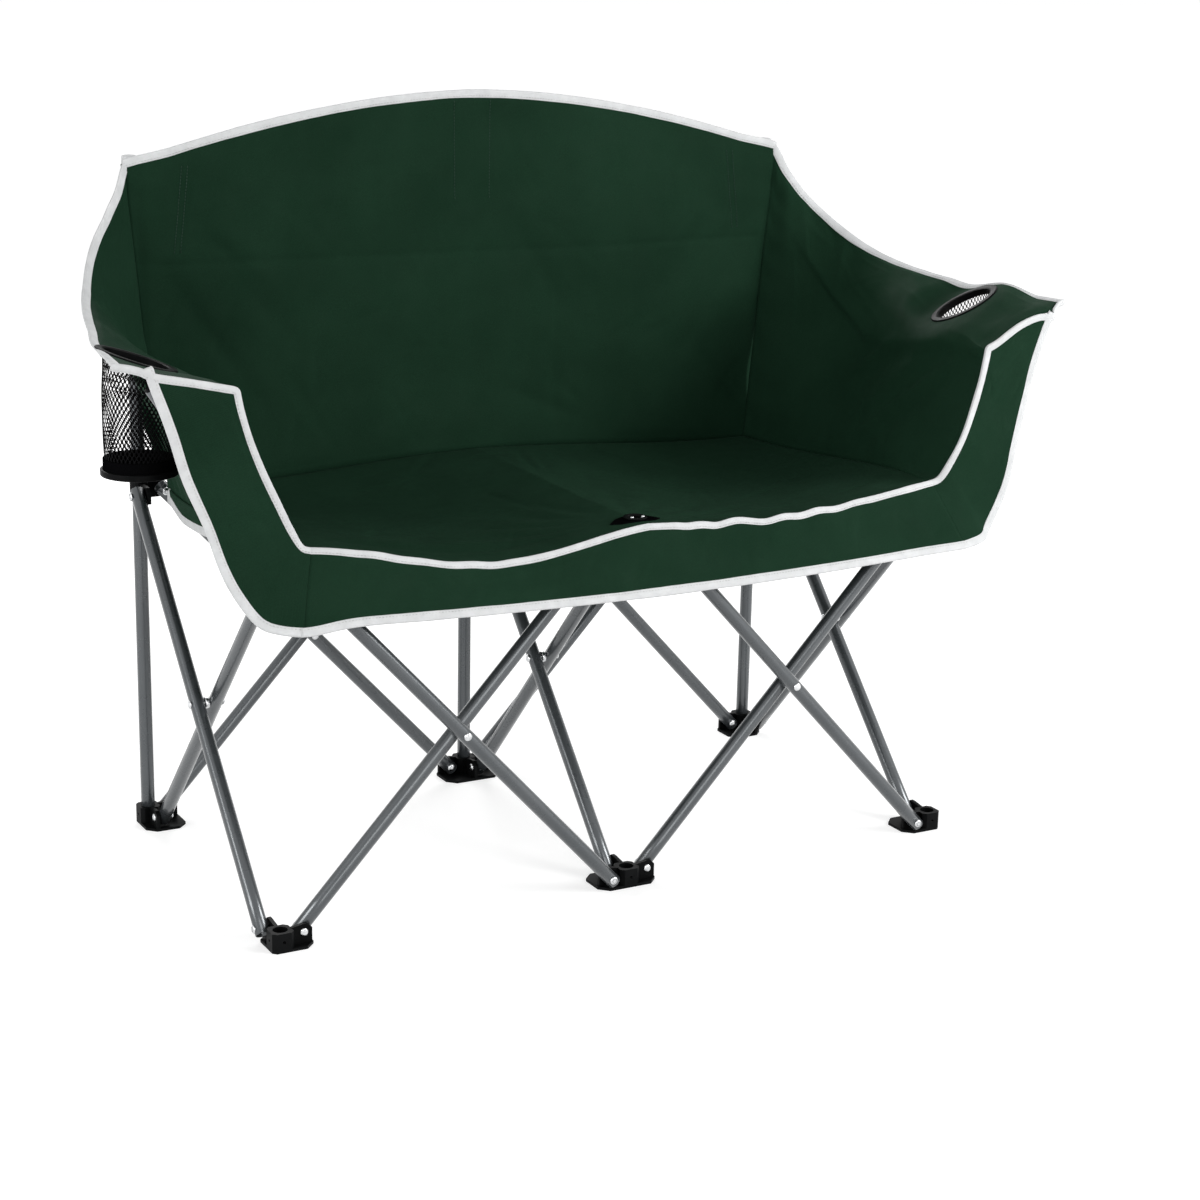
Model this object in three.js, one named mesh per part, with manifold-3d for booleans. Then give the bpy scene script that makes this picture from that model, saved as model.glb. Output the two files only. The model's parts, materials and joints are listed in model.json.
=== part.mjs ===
// Folding camping loveseat for two: a steel-tube scissor frame on six plastic feet, with a
// fabric shell that has a high rounded back, flared arms, a front band and two cup holders.
// Millimetres, +Z up, +X to the right as seen from the front, +Y to the back.
// The origin is on the floor, under the middle of the whole loveseat.
import * as THREE from "three";
import { mergeVertices } from "three/addons/utils/BufferGeometryUtils.js";
import Module from "manifold-3d";

const wasm = await Module();
wasm.setup();

// Frame layout
const footSpacing = 495; // from each foot to the next, left to right
const pinInsetX = 31; // from a foot's or hub's centre to its front or rear tube pin
const pinInsetY = 33; // from a foot's or hub's centre to its side tube pin
const footPinHeight = 18;
const hubPinHeight = 482;
const frontOverhang = 46; // how far the fabric reaches out further in front than the frame does behind

// Tubes and pins
const tubeRadius = 9.5;
const tubeWall = 1.2;
const tubeEnd = 9; // from an end pin to the end of its tube
const pinRadius = 2.9;
const pinClearance = 0.3;
const headRadius = 5.2;
const headHeight = 2.2;
const runningGap = 0.5; // between a tube and the wall that it turns against
const seatGap = 0.3; // between pieces that rest on each other

// Feet and hubs
const wallThickness = 5;
const wallMargin = 11; // from a pin to the edge of its wall
const socketClearance = 0.4;
const socketWall = 2.6;
const socketHeight = 26;
const blockMargin = 2; // from a foot's socket to the faces of its eight-sided block
const blockChamfer = 5;
const sideHoleRadius = 2.3; // of the screw holes in a block's free faces
const sideHoleHeight = 14;
const baseThickness = 4;
const baseMargin = 2; // how far the base stands out past the walls
const baseChamfer = 13;
const hubDepth = 14; // of a hub's ring below its pins
const hubRise = 13; // of a hub's ring above its pins
const forkWall = 3;
const forkPivotRise = 16; // of an arm post's pivot above the hub's pins
const forkRadius = 12;

// Posts
const outerPostRise = 437; // of the corner posts' tops above the hub pins
const middlePostRise = 521;
const armPostTipShares = [0.783, 0.905]; // of the arm's reach outwards, and of its rise
const capHeight = 3;
const capPlug = 14; // how far a cap's plug reaches into its tube

// Fabric shell
const cloth = 4; // thickness of the lined fabric
const seatFrontInset = 33; // of the seat's front corners inside the corner hubs
const seatRearInset = 34; // of the seat's rear corners inside the posts
const seatEdgeBow = 16; // how far the seat's sides bow outwards between them
const seatFrontRise = 33; // of the seat's front corners above the hub pins
const seatFrontMiddleRise = 21.5;
const seatRearRise = 5;
const seatRearMiddleRise = 24;
const seatSag = 30;
const seatFrontReach = 13; // of the seat's front corners ahead of the front hubs
const seatFrontBow = 20; // how far its front edge bows further forward
const seatRearReach = 28; // of the seat's rear edge ahead of the posts
const frontDips = { left: 22, right: 3 }; // of the seat's front edge between the hubs
const backRise = 86; // of the back's top middle above its top corners
const backEdgeInset = 5; // of the back's sides inside the posts' middles
const backCornerOut = 4; // of the back's top corners past the posts
const backSlack = 9; // how far the back hangs forward between its posts
const backBlend = 110; // height over which the back curves forward into the seat
const pocketLength = 136; // of the sleeves over the post tops
const pocketWall = 2.2;
const bandDrop = 65; // of the band's lower edge below the hub pins, in the middle
const bandEndRise = 14; // how much higher the lower edge is at the seams
const bandFlare = 54; // how far the band's lower edge stands ahead of the hubs' fronts
const bandSeamInset = 40; // of the seams' upper ends inside the corner hubs
const bandSeamRake = 29; // how far the seams' lower ends stand further out
const armReach = 189; // of the arm's tip outwards of its hub
const armRise = 266; // of the arm's tip above the hub pins
const armTipBack = 20; // of the arm's tip behind the arm's front
const wingReach = 101; // of the side panel's outer edge outwards of the hubs, halfway back
const wingRise = 297; // of that edge above the hub pins
const wingShoulderReach = 50; // of the panel's shoulder, halfway back
const wingShoulderRise = 207;
const wingBack = 142; // of both ahead of the posts
const sideFold = 9; // depth of the crease that runs up the side panel to the arm
const sideFoldWidth = 34;
const patchWidth = 74;
const patchDepth = 34;
const patchThickness = 1.6;
const patchHoleRadius = 11.5;

// Outlines of the arm band as shares: outwards of the arm's reach, upwards of its rise, and
// forwards of the band's flare
const bandInnerShares = [
  [-0.15, 0.14, 0.12],
  [-0.068, 0.235, 0.2],
  [0.01, 0.35, 0.25],
  [0.101, 0.5, 0.19],
  [0.175, 0.65, 0.12],
  [0.222, 0.79, 0.03],
  [0.244, 0.883, 0],
];
const bandOuterShares = [
  [0.17, -0.18, 0.72],
  [0.238, -0.145, 0.54],
  [0.353, -0.025, 0.44],
  [0.428, 0.09, 0.4],
  [0.507, 0.275, 0.27],
  [0.619, 0.49, 0.06],
  [0.698, 0.69, 0],
  [0.836, 0.965, 0],
];

// Cup holders
const cupOut = 115; // of the cup's middle outwards of the corner hubs
const cupBack = 126; // of the cup's middle behind the front feet
const cupRingRadius = 49;
const cupBoreRadius = 40;
const cupCollarRadius = 42.6;
const cupCollarDepth = 9;
const cupFlange = 3;
const cupHoleClearance = 0.8;
const cupSleeveRadius = 42;
const cupSleeveWall = 1.6;
const cupDepth = 132;
const cupBaseRadius = 47;
const cupBaseThickness = 8;

// How finely round things are cut
const tubeSides = 12;
const pinSides = 8;
const holeSides = 6;
const ringSides = 18;
const cupSides = 20;

// Worked out from the above
const span = footSpacing - 2 * pinInsetX; // between a tube's two end pins, level
const footDepth = span + 2 * pinInsetY; // from the front feet to the rear feet
const tubeRise = hubPinHeight - footPinHeight;
const tubeLength = Math.hypot(span, tubeRise);
const layerOffset = wallThickness / 2 + runningGap + tubeRadius; // from a wall's middle to a tube's axis
const frontY = -footDepth / 2 + frontOverhang / 2;
const rearY = footDepth / 2 + frontOverhang / 2;
const socketRadius = tubeRadius + socketClearance;
const ringRadius = socketRadius + socketWall;
const holeRadius = pinRadius + pinClearance;
const sides = { left: -1, middle: 0, right: 1 };
const postTop = (side) => hubPinHeight + (side === 0 ? middlePostRise : outerPostRise);
const V = (x, y, z) => new THREE.Vector3(x, y, z);

// Materials
const steel = new THREE.MeshStandardMaterial({ color: 0x5c6366, roughness: 0.38, metalness: 0.55 });
const zinc = new THREE.MeshStandardMaterial({ color: 0xc4c6c8, roughness: 0.28, metalness: 0.9 });
const plastic = new THREE.MeshStandardMaterial({ color: 0x121314, roughness: 0.5, metalness: 0 });
const polyester = new THREE.MeshStandardMaterial({ color: 0x1d3327, roughness: 0.9, metalness: 0 });
const mesh = new THREE.MeshStandardMaterial({ color: 0x15161a, roughness: 0.85, metalness: 0 });
const webbing = new THREE.MeshStandardMaterial({ color: 0x0e0f10, roughness: 0.8, metalness: 0 });

const loveseat = new THREE.Group();

// A closed three.js geometry as a solid that can be joined and cut.
function solid(geometry) {
  const bare = geometry.index ? geometry.toNonIndexed() : geometry.clone();
  bare.deleteAttribute("normal");
  bare.deleteAttribute("uv");
  const merged = mergeVertices(bare, 1e-4);
  return new wasm.Manifold(
    new wasm.Mesh({
      numProp: 3,
      vertProperties: merged.attributes.position.array,
      triVerts: new Uint32Array(merged.index.array),
    }),
  );
}

function geometryOf(made) {
  const got = made.getMesh();
  const geometry = new THREE.BufferGeometry();
  geometry.setAttribute("position", new THREE.BufferAttribute(new Float32Array(got.vertProperties), 3));
  geometry.setIndex(new THREE.BufferAttribute(new Uint32Array(got.triVerts), 1));
  const flat = geometry.toNonIndexed();
  flat.computeVertexNormals();
  return flat;
}

function place(name, made, material, parent = loveseat) {
  const piece = new THREE.Mesh(geometryOf(made), material);
  piece.name = name;
  parent.add(piece);
  return piece;
}

function shapeOf(points) {
  return new THREE.Shape(points.map(([a, b]) => new THREE.Vector2(a, b)));
}

function extrusion(shape, length, curveSegments = 1) {
  return new THREE.ExtrudeGeometry(shape, { depth: length, bevelEnabled: false, curveSegments });
}

// A prism of an outline in X and Y, from one height to another.
function prismZ(points, low, high) {
  return solid(extrusion(shapeOf(points), high - low).translate(0, 0, low));
}

// A plate of an outline in X and Z, with its middle at the given Y.
function plateXZ(points, middle, thickness) {
  const made = extrusion(shapeOf(points), thickness).rotateX(Math.PI / 2);
  return solid(made.translate(0, middle + thickness / 2, 0));
}

// A plate of an outline in Y and Z, with its middle at the given X.
const alongX = new THREE.Matrix4().set(0, 0, 1, 0, 1, 0, 0, 0, 0, 1, 0, 0, 0, 0, 0, 1);
function plateYZ(points, middle, thickness) {
  const made = extrusion(shapeOf(points), thickness).applyMatrix4(alongX);
  return solid(made.translate(middle - thickness / 2, 0, 0));
}

function cylinderZ(radius, low, high, count = ringSides) {
  const made = new THREE.CylinderGeometry(radius, radius, high - low, count).rotateX(Math.PI / 2);
  return solid(made.translate(0, 0, (low + high) / 2));
}

function revolved(profile, count) {
  return new THREE.LatheGeometry(
    profile.map(([r, y]) => new THREE.Vector2(r, y)),
    count,
  );
}

// A rivet along Y: a shank with a domed head past each end, and a collar where one is asked for.
function rivetGeometry(from, to, collar) {
  const crown = headRadius * 0.62;
  const start = [
    [0, from - headHeight],
    [crown, from - headHeight],
    [headRadius, from],
    [pinRadius, from],
  ];
  const end = [
    [pinRadius, to],
    [headRadius, to],
    [crown, to + headHeight],
    [0, to + headHeight],
  ];
  const ring = collar
    ? [
        [pinRadius, -collar.thickness / 2],
        [collar.radius, -collar.thickness / 2],
        [collar.radius, collar.thickness / 2],
        [pinRadius, collar.thickness / 2],
      ]
    : [];
  return revolved([...start, ...ring, ...end], pinSides);
}

// Outline of a wall in a level and a vertical axis: its free upper corner is cut, and its top
// slopes down to the height at which it leaves the socket.
function wallOutline(from, to, low, high, chamfer, start) {
  const out = Math.sign(to - from);
  return [
    [from, low],
    [to, low],
    [to, high - chamfer],
    [to - out * chamfer, high],
    [to - out * 2 * chamfer, high],
    [from, start],
  ];
}

function upright(points) {
  return THREE.ShapeUtils.isClockWise(points.map(([a, b]) => new THREE.Vector2(a, b)))
    ? [...points].reverse()
    : points;
}

// The pin of a wall: its tube runs on one side of the wall, and the far head sits on the wall.
function pinAlong(axis, at, height, tubeSide) {
  const wallFace = wallThickness / 2 - seatGap;
  const tubeFace = layerOffset + tubeRadius + seatGap;
  const made = tubeSide > 0 ? rivetGeometry(-wallFace, tubeFace) : rivetGeometry(-tubeFace, wallFace);
  if (axis === "x") made.rotateZ(-Math.PI / 2);
  return solid(axis === "y" ? made.translate(at, 0, height) : made.translate(0, at, height));
}

// Walls with pins, round a centre at the origin: walls to the left or right carry the front or
// rear tubes, and the wall to the front or back carries the side tube.
function walls(xDirections, yDirection, isHub, low, high, height, start = high) {
  const pieces = [];
  const chamfer = wallMargin * 0.55;
  for (const direction of xDirections) {
    const to = direction * (pinInsetX + wallMargin);
    const outline = upright(wallOutline(direction * socketRadius, to, low, high, chamfer, start));
    pieces.push(plateXZ(outline, 0, wallThickness));
    pieces.push(pinAlong("y", direction * pinInsetX, height, isHub ? -direction : direction));
  }
  const to = yDirection * (pinInsetY + wallMargin);
  const outline = upright(wallOutline(yDirection * socketRadius, to, low, high, chamfer, start));
  pieces.push(plateYZ(outline, 0, wallThickness));
  pieces.push(pinAlong("x", yDirection * pinInsetY, height, isHub ? yDirection : -yDirection));
  return pieces;
}

function union(pieces) {
  return pieces.reduce((a, b) => a.add(b));
}

function directionsOf(side) {
  return side === 0 ? [-1, 1] : [-side];
}

// The corners of a box in X and Y, with its own chamfer at each corner: the nearer and the further
// low corner, then the further and the nearer high corner.
function chamfered([low, high], [near, far], cuts) {
  const back = Math.sign(far - near);
  const [nearLow, farLow, farHigh, nearHigh] = cuts;
  return upright([
    [low, near + back * nearLow],
    [low, far - back * farLow],
    [low + farLow, far],
    [high - farHigh, far],
    [high, far - back * farHigh],
    [high, near + back * nearHigh],
    [high - nearHigh, near],
    [low + nearLow, near],
  ]);
}

// A foot: a chamfered base, a block with a round socket for a post, screw holes in the block's free
// faces, and walls for the tubes.
function foot(side, yDirection) {
  const directions = directionsOf(side);
  const half = ringRadius + blockMargin;
  const reach = pinInsetX + wallMargin + baseMargin;
  const isWalled = (direction) => directions.includes(direction);
  const cutNear = (direction) => (isWalled(direction) ? baseChamfer : blockChamfer);
  const width = [isWalled(-1) ? -reach : -half, isWalled(1) ? reach : half];
  const depth = [-yDirection * half, yDirection * (pinInsetY + wallMargin)];
  const cuts = [cutNear(-1), baseChamfer, baseChamfer, cutNear(1)];
  const top = footPinHeight + wallMargin;
  const pieces = [
    prismZ(chamfered(width, depth, cuts), 0, baseThickness),
    prismZ(chamfered([-half, half], [-half, half], Array(4).fill(blockChamfer)), 0, socketHeight),
    ...walls(directions, yDirection, false, baseThickness / 2, top, footPinHeight, socketHeight - seatGap),
  ];
  const holeTurns = [yDirection > 0 ? 0 : Math.PI];
  if (side !== 0) holeTurns.push(side > 0 ? Math.PI / 2 : -Math.PI / 2);
  const holes = holeTurns.map((turn) => {
    const drill = new THREE.CylinderGeometry(sideHoleRadius, sideHoleRadius, half, holeSides);
    return solid(drill.translate(0, -half, 0).rotateZ(turn).translate(0, 0, sideHoleHeight));
  });
  const bore = cylinderZ(socketRadius, baseThickness, top + wallMargin);
  return union(pieces).subtract(union([bore, ...holes]));
}

// A hub with a ring: the front middle one is open, and the rear ones slide on the posts.
function ringHub(side, yDirection) {
  const wallTop = hubRise - 2;
  const pieces = [
    cylinderZ(ringRadius, -hubDepth, hubRise),
    ...walls(directionsOf(side), yDirection, true, -wallMargin, wallTop, 0),
  ];
  return union(pieces).subtract(cylinderZ(socketRadius, -2 * hubDepth, 2 * hubRise));
}

// A front corner hub: a fork in which the arm post pivots, with the same walls.
function forkHub(side) {
  const inward = -side;
  const earInner = socketRadius;
  const earMiddle = earInner + forkWall / 2;
  const webOuter = earInner + forkWall;
  const floor = -hubDepth;
  const ear = [];
  for (let i = 0; i <= 6; i++) {
    const turn = (Math.PI * i) / 6;
    ear.push([forkRadius * Math.cos(turn), forkPivotRise + forkRadius * Math.sin(turn)]);
  }
  ear.push([-forkRadius, floor], [forkRadius, floor]);
  const webX = inward > 0 ? [earInner, webOuter] : [-webOuter, -earInner];
  const floorX = inward > 0 ? [-forkRadius, webOuter] : [-webOuter, forkRadius];
  const box = ([x0, x1], z0, z1) =>
    prismZ([[x0, -webOuter], [x1, -webOuter], [x1, webOuter], [x0, webOuter]], z0, z1);
  const pivot = rivetGeometry(-webOuter + seatGap, webOuter - seatGap).translate(0, 0, forkPivotRise);
  const pieces = [
    plateXZ(ear, earMiddle, forkWall),
    plateXZ(ear, -earMiddle, forkWall),
    box(webX, floor, forkPivotRise - tubeEnd - headHeight),
    box(floorX, floor, floor + forkWall),
    solid(pivot),
  ];
  const cut = box([-webOuter, webOuter], floor + forkWall, hubRise);
  const wallPieces = walls([inward], 1, true, -wallMargin, wallMargin, 0);
  const trimmed = wallPieces.map((piece) => piece.subtract(cut));
  return union([...pieces, ...trimmed]);
}

// A steel tube along +Z with cross holes for the pins, which run along the tube's own Y.
function tubeSolid(from, to, pinHeights) {
  const outline = new THREE.Shape().absarc(0, 0, tubeRadius, 0, 2 * Math.PI);
  outline.holes.push(new THREE.Path().absarc(0, 0, tubeRadius - tubeWall, 0, 2 * Math.PI, true));
  let made = solid(extrusion(outline, to - from, tubeSides / 2).translate(0, 0, from));
  for (const height of pinHeights) {
    const across = 4 * tubeRadius;
    const drill = new THREE.CylinderGeometry(holeRadius, holeRadius, across, pinSides);
    made = made.subtract(solid(drill.translate(0, 0, height)));
  }
  return made;
}

// Turns a piece so that its Z lies along one direction and its Y along another.
function aim(piece, at, along, across) {
  const basis = new THREE.Matrix4().makeBasis(V().crossVectors(across, along), across, along);
  piece.position.copy(at);
  piece.quaternion.setFromRotationMatrix(basis);
}

// A crossing tube from a foot pin up to a hub pin, pinned at both ends and at its middle.
function crossTube(name, from, to, across) {
  const made = tubeSolid(-tubeEnd, tubeLength + tubeEnd, [0, tubeLength / 2, tubeLength]);
  const piece = place(name, made, steel);
  aim(piece, from, V().subVectors(to, from).normalize(), across);
}

// The rivet where two tubes cross, with the spacer that keeps them apart.
function crossRivet(name, at, axis) {
  const reach = layerOffset + tubeRadius + seatGap;
  const collar = { radius: tubeRadius * 0.8, thickness: 2 * (layerOffset - tubeRadius - seatGap) };
  const piece = place(name, solid(rivetGeometry(-reach, reach, collar)), zinc);
  piece.position.copy(at);
  if (axis === "x") piece.rotation.z = -Math.PI / 2;
}

// Two tubes that cross in front of or behind a wall line, between two neighbouring feet.
function levelPair(name, leftX, y) {
  const across = V(0, 1, 0);
  const rightX = leftX + footSpacing;
  const lowRight = V(rightX - pinInsetX, y - layerOffset, footPinHeight);
  const highLeft = V(leftX + pinInsetX, y - layerOffset, hubPinHeight);
  const lowLeft = V(leftX + pinInsetX, y + layerOffset, footPinHeight);
  const highRight = V(rightX - pinInsetX, y + layerOffset, hubPinHeight);
  crossTube(`${name}_tube_fore`, lowRight, highLeft, across);
  crossTube(`${name}_tube_aft`, lowLeft, highRight, across);
  crossRivet(`${name}_rivet`, V(leftX + footSpacing / 2, y, (footPinHeight + hubPinHeight) / 2), "y");
}

// Two tubes that cross beside a front foot and a rear foot.
function sidePair(name, x) {
  const across = V(1, 0, 0);
  const lowFront = V(x - layerOffset, frontY + pinInsetY, footPinHeight);
  const highRear = V(x - layerOffset, rearY - pinInsetY, hubPinHeight);
  const lowRear = V(x + layerOffset, rearY - pinInsetY, footPinHeight);
  const highFront = V(x + layerOffset, frontY + pinInsetY, hubPinHeight);
  crossTube(`${name}_tube_rising_back`, lowFront, highRear, across);
  crossTube(`${name}_tube_rising_front`, lowRear, highFront, across);
  crossRivet(`${name}_rivet`, V(x, (frontY + rearY) / 2, (footPinHeight + hubPinHeight) / 2), "x");
}

// A closed cap on a tube's open end, with a plug inside.
function tubeCap() {
  const plug = tubeRadius - tubeWall - seatGap;
  const profile = [
    [0, -capPlug],
    [plug, -capPlug],
    [plug, seatGap],
    [tubeRadius, seatGap],
    [tubeRadius, capHeight * 0.5],
    [tubeRadius * 0.75, capHeight],
    [0, capHeight],
  ];
  return solid(revolved(profile, tubeSides).rotateX(Math.PI / 2));
}

// Feet, hubs and posts
for (const [word, side] of Object.entries(sides)) {
  const x = side * footSpacing;
  place(`foot_front_${word}`, foot(side, 1), plastic).position.set(x, frontY, 0);
  place(`foot_rear_${word}`, foot(side, -1), plastic).position.set(x, rearY, 0);
  const frontHub = side === 0 ? ringHub(side, 1) : forkHub(side);
  place(`hub_front_${word}`, frontHub, plastic).position.set(x, frontY, hubPinHeight);
  place(`hub_slider_${word}`, ringHub(side, -1), plastic).position.set(x, rearY, hubPinHeight);
  const top = postTop(side);
  const postFoot = baseThickness + seatGap;
  const post = place(`back_post_${word}`, tubeSolid(postFoot, top - capHeight, []), steel);
  post.position.set(x, rearY, 0);
  const cap = place(`post_cap_${word}`, tubeCap(), plastic);
  cap.position.set(x, rearY, top - capHeight);
  sidePair(`side_${word}`, x);
}

// Front and rear crossing tubes
for (const [row, y] of [["front", frontY], ["rear", rearY]]) {
  levelPair(`${row}_left`, -footSpacing, y);
  levelPair(`${row}_right`, 0, y);
}

// Arm posts, leaning outwards from the fork hubs
const [armPostOut, armPostUp] = armPostTipShares;
const armPivotZ = hubPinHeight + forkPivotRise;
const lean = Math.atan2(armReach * armPostOut, armRise * armPostUp - forkPivotRise);
const armPostLength = Math.hypot(armReach * armPostOut, armRise * armPostUp - forkPivotRise);
for (const word of ["left", "right"]) {
  const side = sides[word];
  const along = V(side * Math.sin(lean), 0, Math.cos(lean));
  const pivot = V(side * footSpacing, frontY, armPivotZ);
  const post = place(`arm_post_${word}`, tubeSolid(-tubeEnd, armPostLength - capHeight, [0]), steel);
  aim(post, pivot, along, V(0, 1, 0));
  const cap = place(`arm_cap_${word}`, tubeCap(), plastic);
  aim(cap, V().copy(pivot).addScaledVector(along, armPostLength - capHeight), along, V(0, 1, 0));
}

// A sheet of cloth as a closed solid. surface(u, v) gives its inner face, and outward(u, v) the
// way that its thickness goes; both run from 0 to 1.
function sheet(surface, outward, columns, rows, thickness = cloth) {
  const positions = [];
  const indices = [];
  const stride = rows + 1;
  const layer = (columns + 1) * stride;
  for (const depth of [0, thickness]) {
    for (let i = 0; i <= columns; i++) {
      for (let j = 0; j <= rows; j++) {
        const [u, v] = [i / columns, j / rows];
        const p = surface(u, v).addScaledVector(outward(u, v).normalize(), depth);
        positions.push(p.x, p.y, p.z);
      }
    }
  }
  const quad = (a, b, c, d) => indices.push(a, b, c, a, c, d);
  for (let i = 0; i < columns; i++) {
    for (let j = 0; j < rows; j++) {
      const a = i * stride + j;
      quad(a, a + stride, a + stride + 1, a + 1);
      const b = a + layer;
      quad(b, b + 1, b + stride + 1, b + stride);
    }
  }
  for (let i = 0; i < columns; i++) {
    const a = i * stride;
    quad(a, a + layer, a + layer + stride, a + stride);
    const b = a + rows;
    quad(b, b + stride, b + stride + layer, b + layer);
  }
  for (let j = 0; j < rows; j++) {
    quad(j, j + 1, j + 1 + layer, j + layer);
    const b = columns * stride + j;
    quad(b, b + layer, b + layer + 1, b + 1);
  }
  const geometry = new THREE.BufferGeometry();
  geometry.setAttribute("position", new THREE.Float32BufferAttribute(positions, 3));
  geometry.setIndex(indices);
  const made = solid(geometry);
  if (made.volume() > 0) return made;
  for (let k = 0; k < indices.length; k += 3) {
    [indices[k + 1], indices[k + 2]] = [indices[k + 2], indices[k + 1]];
  }
  geometry.setIndex(indices);
  return solid(geometry);
}

const mix = THREE.MathUtils.lerp;
const smooth = (x, low, high) => THREE.MathUtils.smoothstep(x, low, high);
const bump = (t) => Math.sin(Math.PI * t);

// Where the seat, the back, the sides and the band meet
const sideGap = 2 * seatGap;
const backY = rearY - tubeRadius - sideGap - cloth; // of the back's face
const seatRearY = rearY - seatRearReach;
const faceY = frontY - tubeRadius - sideGap; // of the arm bands' inner faces
const cornerTop = postTop(-1) + capHeight + cloth;
const backTopShape = 1.8; // how square the back's top curve is: 2 is a parabola
const backTopZ = (x) =>
  cornerTop + backRise * (1 - (Math.abs(x) / (footSpacing + backCornerOut)) ** backTopShape);
const seatEdgeX = (v) => footSpacing - mix(seatFrontInset, seatRearInset, v) + seatEdgeBow * bump(v);
const seatEdgeZ = (v) => hubPinHeight + mix(seatFrontRise, seatRearRise, smooth(v, 0, 0.9));
const dipShape = 0.94; // the lower, the nearer to the middle the front edge's dips lie
const seatMiddleZ = (v) => hubPinHeight + mix(seatFrontMiddleRise, seatRearMiddleRise, v);
const seatFrontY = (across) => frontY - seatFrontReach - seatFrontBow * (1 - across ** 4);

// Seat: two hollows side by side, hung between the hubs, with a dipping front edge.
function seatPoint(u, v) {
  const across = 2 * u - 1;
  const x = across * (seatEdgeX(v) - sideGap);
  const y = mix(seatFrontY(across), seatRearY - sideGap, v);
  const level = mix(seatMiddleZ(v), seatEdgeZ(v), smooth(Math.abs(across), 0.12, 1));
  const hollow = seatSag * bump(Math.abs(across)) * bump(v * 0.86 + 0.1);
  const dip = (across < 0 ? frontDips.left : frontDips.right) * bump(Math.abs(across) ** dipShape) ** 2;
  return V(x, y, level - hollow - dip * (1 - smooth(v, 0, 0.3)));
}
const down = () => V(0, 0, -1);
const seatHole = cylinderZ(patchHoleRadius, 0, 2 * hubPinHeight).translate([0, frontY, 0]);
place("seat_panel", sheet(seatPoint, down, 26, 10).subtract(seatHole), polyester);

// Patch over the front middle hub, lying on the seat
function patchPoint(u, v) {
  const [a, b] = [2 * u - 1, 2 * v - 1];
  const x = (patchWidth / 2) * a * (1 - 0.35 * Math.abs(b));
  const y = frontY + (patchDepth / 2) * b * (1 - 0.35 * Math.abs(a));
  const front = seatFrontY(0);
  const onSeat = seatPoint((x / seatEdgeX(0) + 1) / 2, (y - front) / (seatRearY - front));
  return V(x, y, onSeat.z + seatGap + patchThickness);
}
const patchSheet = sheet(patchPoint, down, 6, 4, patchThickness);
const patchCut = cylinderZ(patchHoleRadius, 0, 2 * hubPinHeight, pinSides * 2).translate([0, frontY, 0]);
place("seat_patch", patchSheet.subtract(patchCut), webbing);

// Back: in front of the posts, with a rounded top, curving forward into the seat.
const backEdgeX = footSpacing - backEdgeInset - sideGap;
function backBottomZ(x) {
  const share = Math.min(1, Math.abs(x) / seatEdgeX(1));
  return mix(seatMiddleZ(1), seatEdgeZ(1), smooth(share, 0.12, 1));
}
function backPoint(u, v) {
  const across = 2 * u - 1;
  const width = mix(seatEdgeX(1), backEdgeX, smooth(v, 0, 0.22));
  const x = across * width;
  const z = mix(backBottomZ(x) + sideGap, backTopZ(x), v);
  const forward = (backY - seatRearY) * (1 - smooth(z, backBottomZ(x), backBottomZ(x) + backBlend));
  return V(x, backY - forward - backSlack * bump(Math.abs(across)) * bump(v), z);
}
const backward = () => V(0, 1, 0);
function postPocket(side) {
  const outer = tubeRadius + seatGap + pocketWall;
  const bottom = postTop(side) - pocketLength;
  const top = postTop(side) + capHeight / 2 + pocketWall;
  const front = -tubeRadius - seatGap - cloth / 2;
  const legs = prismZ([[-outer, front], [outer, front], [outer, 0], [-outer, 0]], bottom, top);
  return cylinderZ(outer, bottom, top).add(legs).translate([side * footSpacing, rearY, 0]);
}
function postBore(side) {
  const bore = cylinderZ(tubeRadius + seatGap, 0, postTop(side) + seatGap);
  return bore.translate([side * footSpacing, rearY, 0]);
}
const backSheet = sheet(backPoint, backward, 24, 9);
const pockets = Object.values(sides).map(postPocket);
const bores = Object.values(sides).map(postBore);
place("back_panel", union([backSheet, ...pockets]).subtract(union(bores)), polyester);

// Side panel: from the seat's edge up to the arm and back to the post. Its foot, shoulder and
// outer edge are curves from the rear to the front, and each cross-section turns at the shoulder.
const rearShoulderZ = mix(cornerTop, hubPinHeight, 0.48);
const armInner = bandInnerShares.at(-1);
const armInnerX = footSpacing + armReach * armInner[0];
const armInnerZ = hubPinHeight + armRise * armInner[1];
const armTipX = footSpacing + armReach;
const armTipZ = hubPinHeight + armRise;
const panelFrontY = faceY + 2 * sideGap;
const wingY = rearY - wingBack;
const wingX = footSpacing + wingReach;
const wingZ = hubPinHeight + wingRise;
const wingShoulderX = footSpacing + wingShoulderReach;
const wingShoulderZ = hubPinHeight + wingShoulderRise;
const panelFoot = (v) => V(seatEdgeX(1 - v), mix(seatRearY, panelFrontY, v), seatEdgeZ(1 - v));
const shoulder = new THREE.CatmullRomCurve3([
  V(footSpacing - backEdgeInset, backY, rearShoulderZ),
  V(wingShoulderX, wingY, wingShoulderZ),
  V(mix(wingShoulderX, armInnerX, 0.6), mix(wingY, panelFrontY, 0.6), mix(wingShoulderZ, armInnerZ, 0.6)),
  V(armInnerX, panelFrontY, armInnerZ),
]);
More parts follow.
